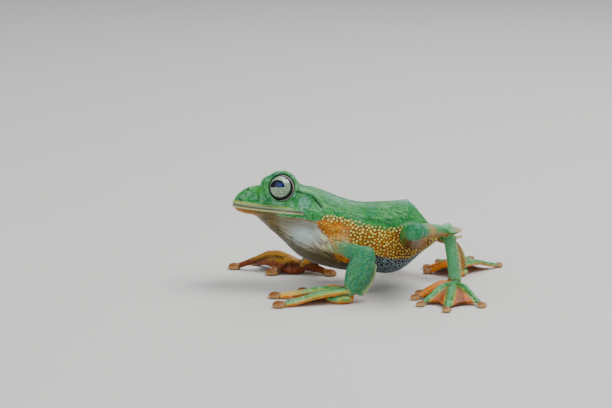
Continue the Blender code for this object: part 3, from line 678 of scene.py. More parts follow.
limbSkin = skinOf("arm", "thigh", "shank", "tarsus") * (1 - soft(bodyShare, 0.5, 0.9))
height += foldPlan["limbPebbles"] * onlyWhere(limbSkin, domes, surface.points, 0.8, 26)
limbRuns = (("shoulder", "elbow", "arm"), ("elbow", "wrist", "arm"), ("hip", "knee", "thigh"),
            ("knee", "heel", "shank"), ("heel", "ankle", "tarsus"))
for side in sideSign:
    places = joints[side]
    for start, end, name in limbRuns:
        run = np.array(places[end]) - np.array(places[start])
        run = run / np.linalg.norm(run)
        along = (surface.points - np.array(places[start])) @ run
        across = surface.points - along[:, None] * run
        ringed = part[name + "_" + side] * (1 - soft(bodyShare, 0.3, 0.8))
        rings = onlyWhere(ringed, cloudNoise, across / 2.6 + along[:, None] * run, 0.55, 27)
        height += foldPlan["limbRings"] * rings
    knee, heel = np.array(places["knee"]), np.array(places["heel"])
    rise = np.array((0.0, 0.0, 1.8))
    height += foldPlan["heelBump"] * bell(gapTo(heel + rise), 1.5)
    height -= foldPlan["heelBump"] * bell(gapTo(knee + 0.81 * (heel - knee) + rise), 1.8)
vent = np.linalg.norm((mirrored - np.array(headPlan["vent"])) * (1.0, 1.0, 1.6), axis=1)
height += foldPlan["ventRim"] * bell(vent - 1.3, 0.6) * bodyShare
height -= foldPlan["ventSink"] * bell(vent, 0.75) * bodyShare
wrinkled = np.zeros(len(x))
for side in sideSign:
    gap, along = toSegment(surface.points, joints[side]["shoulder"], joints[side]["elbow"])
    wrinkled = np.maximum(wrinkled, part["arm_" + side] * soft(along, 0.75, 0.4))
wrinkles = onlyWhere(wrinkled, cloudNoise, foldPlace, 0.5, 28, (5.0, 1.0, 1.0))
height += foldPlan["armWrinkles"] * wrinkles
surface.push(height)
surface.mend(bodyShare, easePlan["mendLast"])
print("folds pressed")

# granules: pale domes on the flank, sparse in front and crowded behind, and small ones on the belly
granulePlan = {
    "front": 2.5, "flank": 0.86, "rear": 0.78, "belly": 0.68,  # spacing in each area
    "height": 0.21, "seed": 5, "largest": 0.9,
    "size": (0.38, 0.18), "tone": (0.1, 0.5),  # least, and what chance adds
}
mirrored = standUpright()[1]
x, a, z = mirrored.T
toGreen = line(x, greenEdge) - z
toBelly = z - line(x, flankEdge)
flankZone = soft(toBelly, -1.2, 0.0) * soft(toGreen, -1.3, -0.3) * soft(x, -5.6, -2.6)
bellyZone = soft(toBelly, 0.4, -0.8) * soft(x, 2.0, 6.0) * soft(z, 3.5, 5.0)
granuleZone = np.maximum(flankZone, bellyZone) * bodyShare
sparse = soft(x, 5.5, 2.0) * soft(toGreen, 0.8, 1.5)
spacing = granulePlan["flank"] + (granulePlan["front"] - granulePlan["flank"]) * sparse
spacing += (granulePlan["rear"] - spacing) * soft(x, 7.0, 13.0) * soft(toGreen, 0.8, 1.6)
spacing += (granulePlan["belly"] - spacing) * soft(toBelly, 0.6, -0.4) * soft(x, 2.0, 6.0)
rng = random.Random(granulePlan["seed"])
(leastSize, sizeMore), (leastTone, toneMore) = granulePlan["size"], granulePlan["tone"]
candidates = [int(i) for i in np.nonzero(granuleZone > 0.35)[0]]
rng.shuffle(candidates)
step = granulePlan["front"]
cells = np.floor(surface.points / step).astype(int)
blocks = [tuple(int(v) - 1 for v in offset) for offset in np.ndindex(3, 3, 3)]
taken = {}
granules = []
for i in candidates:
    p = surface.points[i]
    cx, cy, cz = (int(v) for v in cells[i])
    room = spacing[i] ** 2
    if any((q[0] - p[0]) ** 2 + (q[1] - p[1]) ** 2 + (q[2] - p[2]) ** 2 < room
           for dx, dy, dz in blocks for q in taken.get((cx + dx, cy + dy, cz + dz), ())):
        continue
    taken.setdefault((cx, cy, cz), []).append(tuple(p))
    size = min(spacing[i], granulePlan["largest"]) * (leastSize + sizeMore * rng.random())
    size *= 1 - 0.25 * sparse[i]
    tone = leastTone + toneMore * rng.random()
    tone += 0.4 * soft(x[i], 11.0, 20.0) - 0.25 * soft(toGreen[i], 1.0, 0.0)
    pale = soft(toBelly[i], 0.3, -0.5) * soft(x[i], 2.0, 5.0)
    granules.append((tuple(p), size, float(tone), float(pale)))
tree = KDTree(len(granules))
for i, granule in enumerate(granules):
    tree.insert(granule[0], i)
tree.balance()
granuleGap = np.full(len(x), 3.0)
granuleTone = np.full(len(x), 0.5)
granulePale = np.zeros(len(x))
granuleSize = np.full(len(x), 0.3)
for i in np.nonzero(granuleZone > 0.02)[0]:
    place, index, distance = tree.find(surface.points[i])
    granuleSize[i], granuleTone[i], granulePale[i] = granules[index][1:]
    granuleGap[i] = distance / granuleSize[i]
dome = np.clip(1 - granuleGap ** 2, 0.0, 1.0) ** 0.75
surface.push(granulePlan["height"] * (granuleSize / 0.4) * dome * granuleZone)
print("granules raised:", len(granules))

# fingers and toes: discs, knuckles and webs
digitPlan = {
    "toeDisc": 1.45, "fingerDisc": 2.05, "discGroove": 0.1, "discRim": 0.05, "discPad": 0.4,
    "webCrease": 0.07, "webFrom": (1.1, 1.7), "knuckle": 0.14, "knuckles": (0.42, 0.76), "rough": 0.045,
}
discGap = np.full(len(x), 9.0)
digitGap = np.full(len(x), 9.0)
digitAlong = np.zeros(len(x))
digitNumber = np.zeros(len(x), int)
digitTurn = np.zeros(len(x))
digitReach = np.zeros(len(x))
onFloor = np.array((1.0, 1.0, 0.0))
for side in sideSign:
    fingers, toes = digitTips(side)
    for tips, joint, name in ((fingers, "wrist", "hand"), (toes, "ankle", "foot")):
        here = np.nonzero(part[name + "_" + side] > 0.02)[0]
        p = surface.points[here]
        best = np.full(len(here), 99.0)
        spoke = p[:, :2] - np.array(joints[side][joint][:2])
        digitTurn[here] = np.arctan2(spoke[:, 1], spoke[:, 0])
        digitReach[here] = np.linalg.norm(spoke, axis=1)
        for number, tip in enumerate(tips):
            distance, share = toSegment(p * onFloor, np.array(joints[side][joint]) * onFloor, tip * onFloor)
            closer = distance < best
            best[closer] = distance[closer]
            chosen = here[closer]
            digitGap[chosen] = distance[closer]
            digitAlong[chosen] = share[closer]
            digitNumber[chosen] = number
            discGap[chosen] = np.linalg.norm(p[closer] - np.array(tip), axis=1)
handSkin = skinOf("hand")
discGrowth = digitPlan["fingerDisc"] - digitPlan["toeDisc"]
discSize = digitPlan["toeDisc"] + discGrowth * soft(handSkin, 0.3, 0.7)
level = surface.points[:, 2]
rise = -digitPlan["discGroove"] * bell(discGap - discSize - 0.12, 0.22) * soft(level, 0.5, 0.9)
rise += digitPlan["discRim"] * bell(discGap - discSize + 0.35, 0.3) * soft(level, 0.5, 0.9)
rise += digitPlan["discPad"] * soft(discGap, discSize, 0.4) * soft(level, 0.7, 1.2) * handSkin
webCrease = cloudNoise(np.stack((digitTurn * 11.0, digitReach * 0.22, np.zeros_like(x)), axis=1), 1.0, 51)
webShare = soft(digitGap, *digitPlan["webFrom"]) * soft(digitAlong, 0.1, 0.25)
rise += digitPlan["webCrease"] * webCrease * webShare
nearKnuckle, farKnuckle = digitPlan["knuckles"]
knuckles = bell(digitAlong - nearKnuckle, 0.05) + 0.8 * bell(digitAlong - farKnuckle, 0.04)
rise += digitPlan["knuckle"] * knuckles * (1 - soft(digitGap, 0.9, 1.6))
roughness = digitPlan["rough"] * onlyWhere(digitSkin, cloudNoise, surface.points, 0.6, 31)
surface.push(rise * digitSkin + roughness)
surface.points[:, 2] = np.maximum(surface.points[:, 2], 0.0)
surface.points = np.clip(surface.points, boxLow + 0.02, boxHigh - 0.02)
print("digits shaped")

# masks that the finishes read at every point of the skin: shares from 0 to 1, and the gap to a granule
markPlan = {  # places as (x, z) on the upright head and body
    "chestLight": (-8.4, 17.0), "smudge": (3.0, 17.8), "snoutSpot": (-27.9, 26.3),
    "leafy": (-22.3, 29.2), "leafyLow": (-16.5, 24.7),
    "throatEnd": (-15.2, -18.6), "peachAlong": 0.38, "knee": (6.5, 4.0), "heel": (3.2, 2.2),
    "armFade": (0.12, 0.5), "fringeOut": 3.1, "fringeBow": 2.0, "tarsusFringe": 2.5, "flapOut": 3.6,
}
facing = {  # the way that the green side of each limb looks
    "arm_left": (0.1, -0.75, 0.65), "arm_right": (0.1, 0.6, 0.8),
    "thigh_left": (-0.35, -0.45, 0.85), "thigh_right": (-0.35, 0.45, 0.85),
    "shank_left": (0.0, -0.3, 0.95), "shank_right": (0.0, 0.3, 0.95),
    "tarsus_left": (0.3, -0.8, 0.4), "tarsus_right": (0.3, 0.8, 0.4),
}
armFacing = {"left": (0.35, -1.0, 0.25), "right": (0.2, 0.6, 0.9)}
normal = surface.normals()
upright, mirrored = standUpright()
x, a, z = mirrored.T


def fromMark(name, stretch=1.0):
    # distance from a marked place, in side view
    markX, markZ = markPlan[name]
    return np.hypot((x - markX) / stretch, z - markZ)


def edgeBehind(side, start, end, look):
    # points of one limb's run, and the direction behind it, away from the side that it looks to
    first, last = np.array(joints[side][start]), np.array(joints[side][end])
    behind = np.cross(last - first, look) * sideSign[side]
    return first, last - first, behind / np.linalg.norm(behind)


# painted shade: how far each point lies in a hollow, which the finish turns into darker colour in creases and
# pits
hollow = ((surface.mean(surface.points) - surface.points) * normal).sum(1)
hollow = surface.spread(hollow, 1)
masks = {"hollow": np.clip(0.5 + hollow / 0.03, 0.0, 1.0)}

limbGreen = np.zeros(len(x))
limbShare = np.zeros(len(x))
wander = 0.18 * cloudNoise(surface.points, 1.4, 41) + 0.1 * cloudNoise(surface.points, 0.5, 42)
foldPlace = np.stack((x - 0.75 * z, a, z + 0.75 * x), axis=1)
armStreaks = 0.2 * cloudNoise(foldPlace, 0.6, 49, (4.0, 1.0, 1.0))
kneeGap = gapTo(*(joints[side]["knee"] for side in sideSign))
heelGap = gapTo(*(joints[side]["heel"] for side in sideSign))
jointGreen = np.maximum(soft(kneeGap + wander, 6.5, 4.5), soft(heelGap + wander, *markPlan["heel"]))
offBody = 1 - soft(bodyShare, 0.35, 0.75)
for name, direction in facing.items():
    direction = np.array(direction) / np.linalg.norm(direction)
    own = part[name] * offBody
    if name.startswith("arm"):
        places = joints[name[4:]]
        along = toSegment(surface.points, places["shoulder"], places["elbow"])[1]
        own = own * soft(along + armStreaks, *markPlan["armFade"])
    turned = normal @ direction + wander + 0.6 * jointGreen
    limbGreen = np.maximum(limbGreen, own * soft(turned, -0.22, 0.1))
    limbShare = np.maximum(limbShare, own)
masks["green"] = np.clip(backGreen * bodyShare * (1 - limbShare) + limbGreen, 0, 1) * (1 - digitSkin)
masks["orange"] = np.clip(flank * (1 - limbShare) + limbShare, 0, 1) * (1 - digitSkin)
masks["belly"] = belly * (1 - limbShare)
masks["throat"] = soft(x + 0.8 * wobble, *markPlan["throatEnd"])
# the chest: pale skin with a painted highlight, brightest in a bell about its middle, and darker beige-grey
# round it
chestX, chestZ = markPlan["chestLight"]
masks["chestLight"] = bell(np.hypot(x - chestX, z - chestZ - 0.3 * (x - chestX)) + 0.8 * wobble, 5.0)
# painted shade: skin that faces down under the throat and chest turns dark olive-brown
downward = normal @ np.array((0.0, math.sin(math.radians(6.0)), math.cos(math.radians(6.0))))
masks["under"] = soft(downward + 0.12 * wobble, -0.2, -0.7) * soft(x, 8.0, 3.0) * soft(lipGap, -1.5, -3.5)
masks["fleshFold"] = armFolds * soft(cloudNoise(foldPlace, 0.62, 24, (5.0, 1.0, 1.0)), 0.0, 0.6)
masks["sideStreak"] = sideFolds * soft(cloudNoise(mirrored, 0.7, 23, (4.5, 1.0, 1.0)), 0.05, 0.6)
masks["jawLine"] = bell(lipGap + 2.05, 0.22) * soft(x, -16.5, -12.0) * soft(x, -4.5, -7.0) * bodyShare
masks["jawShade"] = bell(lipGap + 3.3 + 0.5 * wobble, 1.7) * soft(x, -3.5, -7.0)
masks["knee"] = soft(kneeGap, *markPlan["knee"])
masks["tarsus"] = skinOf("tarsus")
masks["granuleZone"] = granuleZone * (1 - limbShare)
masks["granuleGap"] = granuleGap
masks["granuleTone"] = np.clip(granuleTone, 0.0, 1.0)
masks["granulePale"] = granulePale
masks["rear"] = soft(x + wobble, 13.0, 21.0) * (1 - 0.5 * limbShare)
# painted highlight: a pale bluish patch on the highest point of the hip
hipTop = surface.points[np.argmax(np.where((x > 12.0) & (bodyShare > 0.5), surface.points[:, 2], 0.0))]
masks["hipHighlight"] = bell(gapTo(hipTop) + 0.7 * wobble, 2.2) * bodyShare
masks["smudge"] = bell(fromMark("smudge") + 0.5 * wobble, 1.2) * flank
shankSpots, flapSpots = [], []
for side in sideSign:
    knee, heel = np.array(joints[side]["knee"]), np.array(joints[side]["heel"])
    spot = knee + markPlan["peachAlong"] * (heel - knee)
    shankSpots.append(spot + np.array((0.0, sideSign[side] * 2.0, 0.3)))
    flapSpots.append(heel + np.array((3.0, sideSign[side] * 2.0, 0.2)))
masks["peach"] = bell(gapTo(*shankSpots), 2.6) * skinOf("shank")
masks["flap"] = bell(gapTo(*flapSpots), 1.7) * limbShare

corner = headPlan["mouthCorner"]
onFace = soft(x, corner + 1.2, corner - 0.6) * bodyShare
lipRun = soft(x, corner + 0.4, corner - 6.0)
lipBelow = 0.3 + 0.3 * lipRun
upperBand = bell(lipGap - 0.55 - 0.35 * lipRun, 0.14 + 0.12 * lipRun)
masks["upperLip"] = upperBand * onFace * lipRun * (0.45 + 0.55 * soft(x, -19.0, -26.0))
masks["lipGrey"] = bell(lipGap - 0.2 - 0.2 * lipRun, 0.14 + 0.16 * lipRun) * onFace * (0.3 + 0.7 * lipRun)
masks["mouthLine"] = bell(lipGap + 0.02, 0.13 + 0.05 * soft(x, -17.0, -12.0)) * onFace
masks["mouthLine"] *= 0.5 + 0.5 * soft(x, -25.0, -19.0)
masks["lowerLip"] = bell(lipGap + lipBelow, lipBelow * 0.52) * onFace * (0.4 + 0.6 * lipRun)
masks["frontLip"] = soft(x, -20.5, -25.5) * soft(lipGap, -0.6, -1.05) * soft(lipGap, -4.6, -2.6) * bodyShare

lidMargin, lidTurn, eyeFar = aroundEyes(surface.points)
lidSkin = soft(eyeFar, 5.9, 5.3) * bodyShare
overEye = soft(np.sin(lidTurn), 0.15, 0.7)
# painted reflection on the wet lid margin: a pale sky patch behind and over the eye, and dark blotches of
# reflected leaves under the upper lid
blotches = soft(cloudNoise(surface.points, 0.4, 43), 0.05, 0.4)
masks["lidRim"] = soft(lidMargin, 0.24, 0.06) * soft(eyeFar, 4.5, 4.32) * lidSkin
masks["lidShade"] = bell(lidMargin - 0.6, 0.34) * lidSkin * overEye * blotches
masks["lowerLid"] = bell(lidMargin - 0.75, 0.4) * lidSkin * soft(np.sin(lidTurn), -0.1, -0.5)
rearTurn = soft(np.cos(lidTurn) - 0.5 * np.sin(lidTurn), 0.0, -0.7)
masks["rearLidReflection"] = bell(lidMargin - 0.42, 0.3) * lidSkin * rearTurn

masks["eardrum"] = soft(drumGap + 0.9 * wobble, 2.7, 0.9) * lateral
drumRing = bell(drumGap - headPlan["eardrumRadius"], 0.45)
masks["eardrumRing"] = drumRing * lateral * soft(wobble, -0.4, 0.3)
headNoise = cloudNoise(mirrored, 0.75, 47) + 0.5 * cloudNoise(mirrored, 0.35, 48)
masks["headMottle"] = soft(x, -4.0, -9.0) * soft(headNoise, -0.25, 0.7)
# painted shade: the nostril's shallow pit is coloured near black
masks["nostril"] = soft(nostrilGap, 0.62, 0.32) * bodyShare
masks["foldShade"] = bell(sideStroke(headPlan["foldCrease"]), 0.4) * lateral
masks["foldLight"] = bell(sideStroke(headPlan["foldRidge"]), 0.75) * lateral
# painted highlight: a pale bluish patch on the crest of the back behind the head, laid in the backLight paint
backHighlight = soft(a + wobble, 7.0, 4.5) * soft(z, 23.6, 25.5)
backHighlight *= soft(x, -5.0, -1.5) * soft(x + 2 * wobble, 8.0, 2.0)
masks["backLight"] = backHighlight * soft(cloudNoise(upright, 0.9, 44, (3.0, 1.0, 1.0)), -0.5, 0.6) * bodyShare
# painted shade: a small dark spot on the snout below the nostril
masks["snoutSpot"] = bell(fromMark("snoutSpot", 1.4) + 0.1 * wobble, 0.5) * bodyShare
leafy = bell(fromMark("leafy", 2.2), 1.3) + bell(fromMark("leafyLow", 2.2), 0.9) * 0.8
masks["snoutLight"] = np.clip(leafy * (0.75 + 0.5 * cloudNoise(mirrored, 0.9, 45)), 0, 1) * bodyShare

fringes = []
for side in sideSign:
    start, run, behind = edgeBehind(side, "elbow", "wrist", armFacing[side])
    bow = [(s, markPlan["fringeOut"] + markPlan["fringeBow"] * math.sin(math.pi * s) ** 0.5)
           for s in (0.1, 0.3, 0.5, 0.7, 0.9)]
    fringes.append([start + run * s + behind * out for s, out in bow])
    start, run, behind = edgeBehind(side, "heel", "ankle", (0.0, sideSign[side], 0.0))
    fringes.append([start + run * s + behind * markPlan["tarsusFringe"] for s in (0.0, 0.3, 0.6, 0.9)])
    flap = [(markPlan["flapOut"], sideSign[side] * out, 0.3) for out in (0.0, 2.0, 4.0)]
    fringes.append([start + np.array(step) for step in flap])
fringeGap = np.min([toPath(surface.points, edge)[0] for edge in fringes], axis=0)
masks["fringe"] = bell(fringeGap, 0.75) * limbShare
masks["arm"] = skinOf("arm") * offBody
shoulders = gapTo(*(shoulderPlan[side][1] for side in sideSign))
masks["shoulder"] = soft(shoulders + 1.2 * wobble, 6.0, 2.5) * masks["arm"]
armRoot = soft(shoulders + 0.8 * wobble, 5.0, 3.2) * soft(x, -5.0, -2.2)
armRoot *= soft(z, 10.6, 12.6) * soft(z, 18.2, 16.6)
masks["armRoot"] = armRoot * (1 - flank * 0.7)
masks["wrinkle"] = soft(wrinkles, 0.12, 0.5)
masks["thighShade"] = skinOf("thigh") * soft(normal[:, 2] + 0.2 * wander, 0.1, -0.5) * soft(x, 27.0, 23.0)
# painted shade: the vent's pit is darkened
masks["vent"] = bell(vent, 0.8) * bodyShare
shankTop = soft(normal[:, 2], 0.2, 0.8) * np.maximum(part["shank_left"], part["thigh_left"])
masks["shankTop"] = shankTop * soft(x + wobble, 24.0, 27.0)

masks["digit"] = digitSkin
masks["disc"] = soft(discGap, discSize + 0.25, discSize - 0.15) * digitSkin
masks["discRim"] = bell(discGap - discSize, 0.25) * digitSkin
masks["web"] = soft(digitGap + 0.2 * wander, 1.25, 1.75) * soft(digitAlong, 0.12, 0.25) * digitSkin
masks["innerDigit"] = surface.spread(np.isin(digitNumber, (0, 1)) * 1.0, 6) * digitSkin
masks["rust"] = part["hand_right"]
masks["sole"] = soft(normal[:, 2] + 0.3 * wander, -0.35, -0.65) * digitSkin
masks["tipOrange"] = (digitNumber == 2) * soft(digitAlong, 0.55, 0.8) * handSkin
masks["digitEdge"] = bell(digitGap - 1.25, 0.3) * digitSkin
masks["webCrease"] = soft(webCrease, 0.1, -0.6) * webShare * digitSkin
masks["knuckle"] = soft(surface.points[:, 2] + 2.0 * wander, 3.0, 4.8) * digitSkin
masks["tipCream"] = np.isin(digitNumber, (2, 3)) * bell(digitAlong - 0.72, 0.16) * handSkin
print("masks laid")


def addMasks(mesh, values):
    for name, numbers in values.items():
        mesh.attributes.new(name, "FLOAT", "POINT").data.foreach_set("value", numbers.astype(np.float32))


bpy.data.objects.remove(surface.holder)
skinMesh = quadMesh("frogSkin", (surface.points - home) / 1000, surface.faces)
skinMesh.validate()
addMasks(skinMesh, masks)
frogSkin = bpy.data.objects.new("frog_skin", skinMesh)
bpy.context.scene.collection.objects.link(frogSkin)
print("skin mesh made:", len(frogSkin.data.polygons), "faces")


# finishes: small tools for nodes


def addNode(tree, kind, inputs=None, **settings):
    made = tree.nodes.new(kind)
    for name, value in settings.items():
        setattr(made, name, value)
    for key, value in (inputs or {}).items():
        socket = made.inputs[key]
        if isinstance(value, bpy.types.NodeSocket):
            tree.links.new(value, socket)
        else:
            socket.default_value = value
    return made


def paint(red, green, blue):
    # a colour as a paint chart gives it, 0 to 255, turned into light
    tones = [((c / 255 + 0.055) / 1.055) ** 2.4 if c > 10 else c / 255 / 12.92 for c in (red, green, blue)]
    return tuple(tones) + (1.0,)


def blendColours(tree, share, first, second, how="MIX"):
    inputs = {0: share, 6: first, 7: second}
    return addNode(tree, "ShaderNodeMix", inputs, data_type="RGBA", blend_type=how).outputs[2]


def mask(tree, name):
    return addNode(tree, "ShaderNodeAttribute", attribute_name=name).outputs["Fac"]


def remap(tree, value, low, high, newLow=0.0, newHigh=1.0):
    return addNode(tree, "ShaderNodeMapRange", {0: value, 1: low, 2: high, 3: newLow, 4: newHigh}).outputs[0]


def product(tree, first, second):
    return addNode(tree, "ShaderNodeMath", {0: first, 1: second}, operation="MULTIPLY").outputs[0]


def newGroup(name, inputs, outputs):
    group = bpy.data.node_groups.new(name, "ShaderNodeTree")
    for label, value in inputs:
        socket = group.interface.new_socket(label, in_out="INPUT", socket_type="NodeSocketFloat")
        socket.default_value = value
    for label in outputs:
        group.interface.new_socket(label, in_out="OUTPUT", socket_type="NodeSocketFloat")
    return group, group.nodes.new("NodeGroupInput"), group.nodes.new("NodeGroupOutput")


def makeMottling():
    # soft patches and small specks, as pigment lies in wet skin
    settings = (("Patch scale", 900.0), ("Speck scale", 2600.0), ("Shift", 0.0))
    group, given, result = newGroup("mottling", settings, ("Patches", "Specks", "Net"))
    place = addNode(group, "ShaderNodeTexCoord").outputs["Object"]
    patches = addNode(group, "ShaderNodeTexNoise", {"Vector": place, "W": given.outputs["Shift"],
                      "Scale": given.outputs["Patch scale"], "Detail": 4.0, "Roughness": 0.62},
                      noise_dimensions="4D").outputs[0]
    specks = addNode(group, "ShaderNodeTexNoise", {"Vector": place, "W": given.outputs["Shift"],
                     "Scale": given.outputs["Speck scale"], "Detail": 2.0, "Roughness": 0.55},
                     noise_dimensions="4D").outputs[0]
    net = addNode(group, "ShaderNodeTexVoronoi", {"Vector": place, "Scale": given.outputs["Patch scale"]},
                  feature="DISTANCE_TO_EDGE").outputs["Distance"]
    group.links.new(remap(group, patches, 0.36, 0.64), result.inputs["Patches"])
    group.links.new(remap(group, specks, 0.4, 0.66), result.inputs["Specks"])
    group.links.new(remap(group, net, 0.0, 0.16, 1.0, 0.0), result.inputs["Net"])
    return group


def makeFineGrain():
    # tiny wrinkles and pores, too small for the mesh
    group, given, result = newGroup("fineGrain", (("Scale", 3000.0),), ("Height",))
    place = addNode(group, "ShaderNodeTexCoord").outputs["Object"]
    grain = addNode(group, "ShaderNodeTexVoronoi", {"Vector": place, "Scale": given.outputs["Scale"]},
                    feature="SMOOTH_F1").outputs["Distance"]
    cloud = addNode(group, "ShaderNodeTexNoise",
                    {"Vector": place, "Scale": given.outputs["Scale"], "Detail": 3.0})
    mixed = addNode(group, "ShaderNodeMath", {0: grain, 1: cloud.outputs[0]}, operation="SUBTRACT").outputs[0]
    group.links.new(mixed, result.inputs["Height"])
    return group


mottling = makeMottling()
fineGrain = makeFineGrain()


def useGroup(tree, group, **values):
    made = tree.nodes.new("ShaderNodeGroup")
    made.node_tree = group
    for label, value in values.items():
        made.inputs[label.replace("_", " ")].default_value = value
    return made


def layered(tree, palette, base, *coats):
    # lays coats over a base: each has a mask's name or a socket, its strength, and a paint
    base = palette[base] if isinstance(base, str) else base
    for share, strength, colour in coats:
        share = mask(tree, share) if isinstance(share, str) else share
        share = share if strength == 1.0 else product(tree, share, strength)
        colour = palette[colour] if isinstance(colour, str) else colour
        base = blendColours(tree, share, base, colour)
    return base


skinPaint = {
    "green": paint(16, 122, 36), "greenLight": paint(54, 164, 68), "greenDark": paint(4, 70, 40),
    "teal": paint(14, 122, 86), "mint": paint(118, 192, 146), "leaf": paint(58, 158, 20),
    # backLight is the pale bluish colour of the painted highlights on the back and the hip
    "ridge": paint(112, 190, 120), "backLight": paint(136, 186, 188), "eardrum": paint(120, 178, 168),
    "orange": paint(220, 126, 0), "orangeDark": paint(84, 38, 0), "orangeLight": paint(244, 176, 0),
    "thighShade": paint(66, 34, 2), "smudge": paint(226, 176, 140), "peach": paint(200, 128, 70),
    "granule": paint(240, 232, 112), "granuleDim": paint(200, 150, 20), "granulePale": paint(124, 160, 170),
    "chest": paint(186, 208, 212), "chestShade": paint(142, 134, 108), "throat": paint(104, 88, 42),
    "jawShade": paint(100, 98, 72), "jawLine": paint(136, 70, 14), "fold": paint(228, 222, 176),
    "under": paint(66, 56, 22), "belly": paint(30, 58, 70), "bellyNet": paint(10, 14, 20),
    "lipYellow": paint(222, 206, 84), "lipGrey": paint(142, 164, 132), "lipCream": paint(194, 204, 144),
    "mouthLine": paint(46, 28, 52), "frontLip": paint(176, 106, 10), "nostril": (0.01, 0.012, 0.01, 1.0),
    "lidBlue": paint(10, 24, 44), "lidDark": paint(8, 30, 44), "rearLidReflection": paint(150, 180, 190),
    "lowerLid": paint(126, 170, 160), "fringe": paint(214, 206, 140), "flap": paint(176, 98, 20),
    "upperArm": paint(112, 140, 84), "armGreen": paint(40, 150, 84), "wrinkle": paint(164, 190, 150),
    "speckBlue": paint(50, 108, 160), "speckYellow": paint(196, 196, 50), "speckNavy": paint(10, 44, 84),
    "digit": paint(110, 182, 126), "digitEdge": paint(214, 200, 60), "webOrange": paint(176, 74, 8),
    "rust": paint(122, 52, 2), "knuckle": paint(196, 150, 40),
    "tan": paint(142, 88, 36), "tanDark": paint(92, 52, 20), "tanPale": paint(210, 168, 116),
}
skinGloss = {
    "dry": 0.52, "moist": 0.3, "specular": 0.26, "coat": 0.08, "coatRoughness": 0.25,
    "subsurface": 0.1, "subsurfaceReach": (0.0012, 0.0008, 0.0004),
    "grainScale": 2800.0, "grainStrength": 0.25, "grainDepth": 0.00012,
}


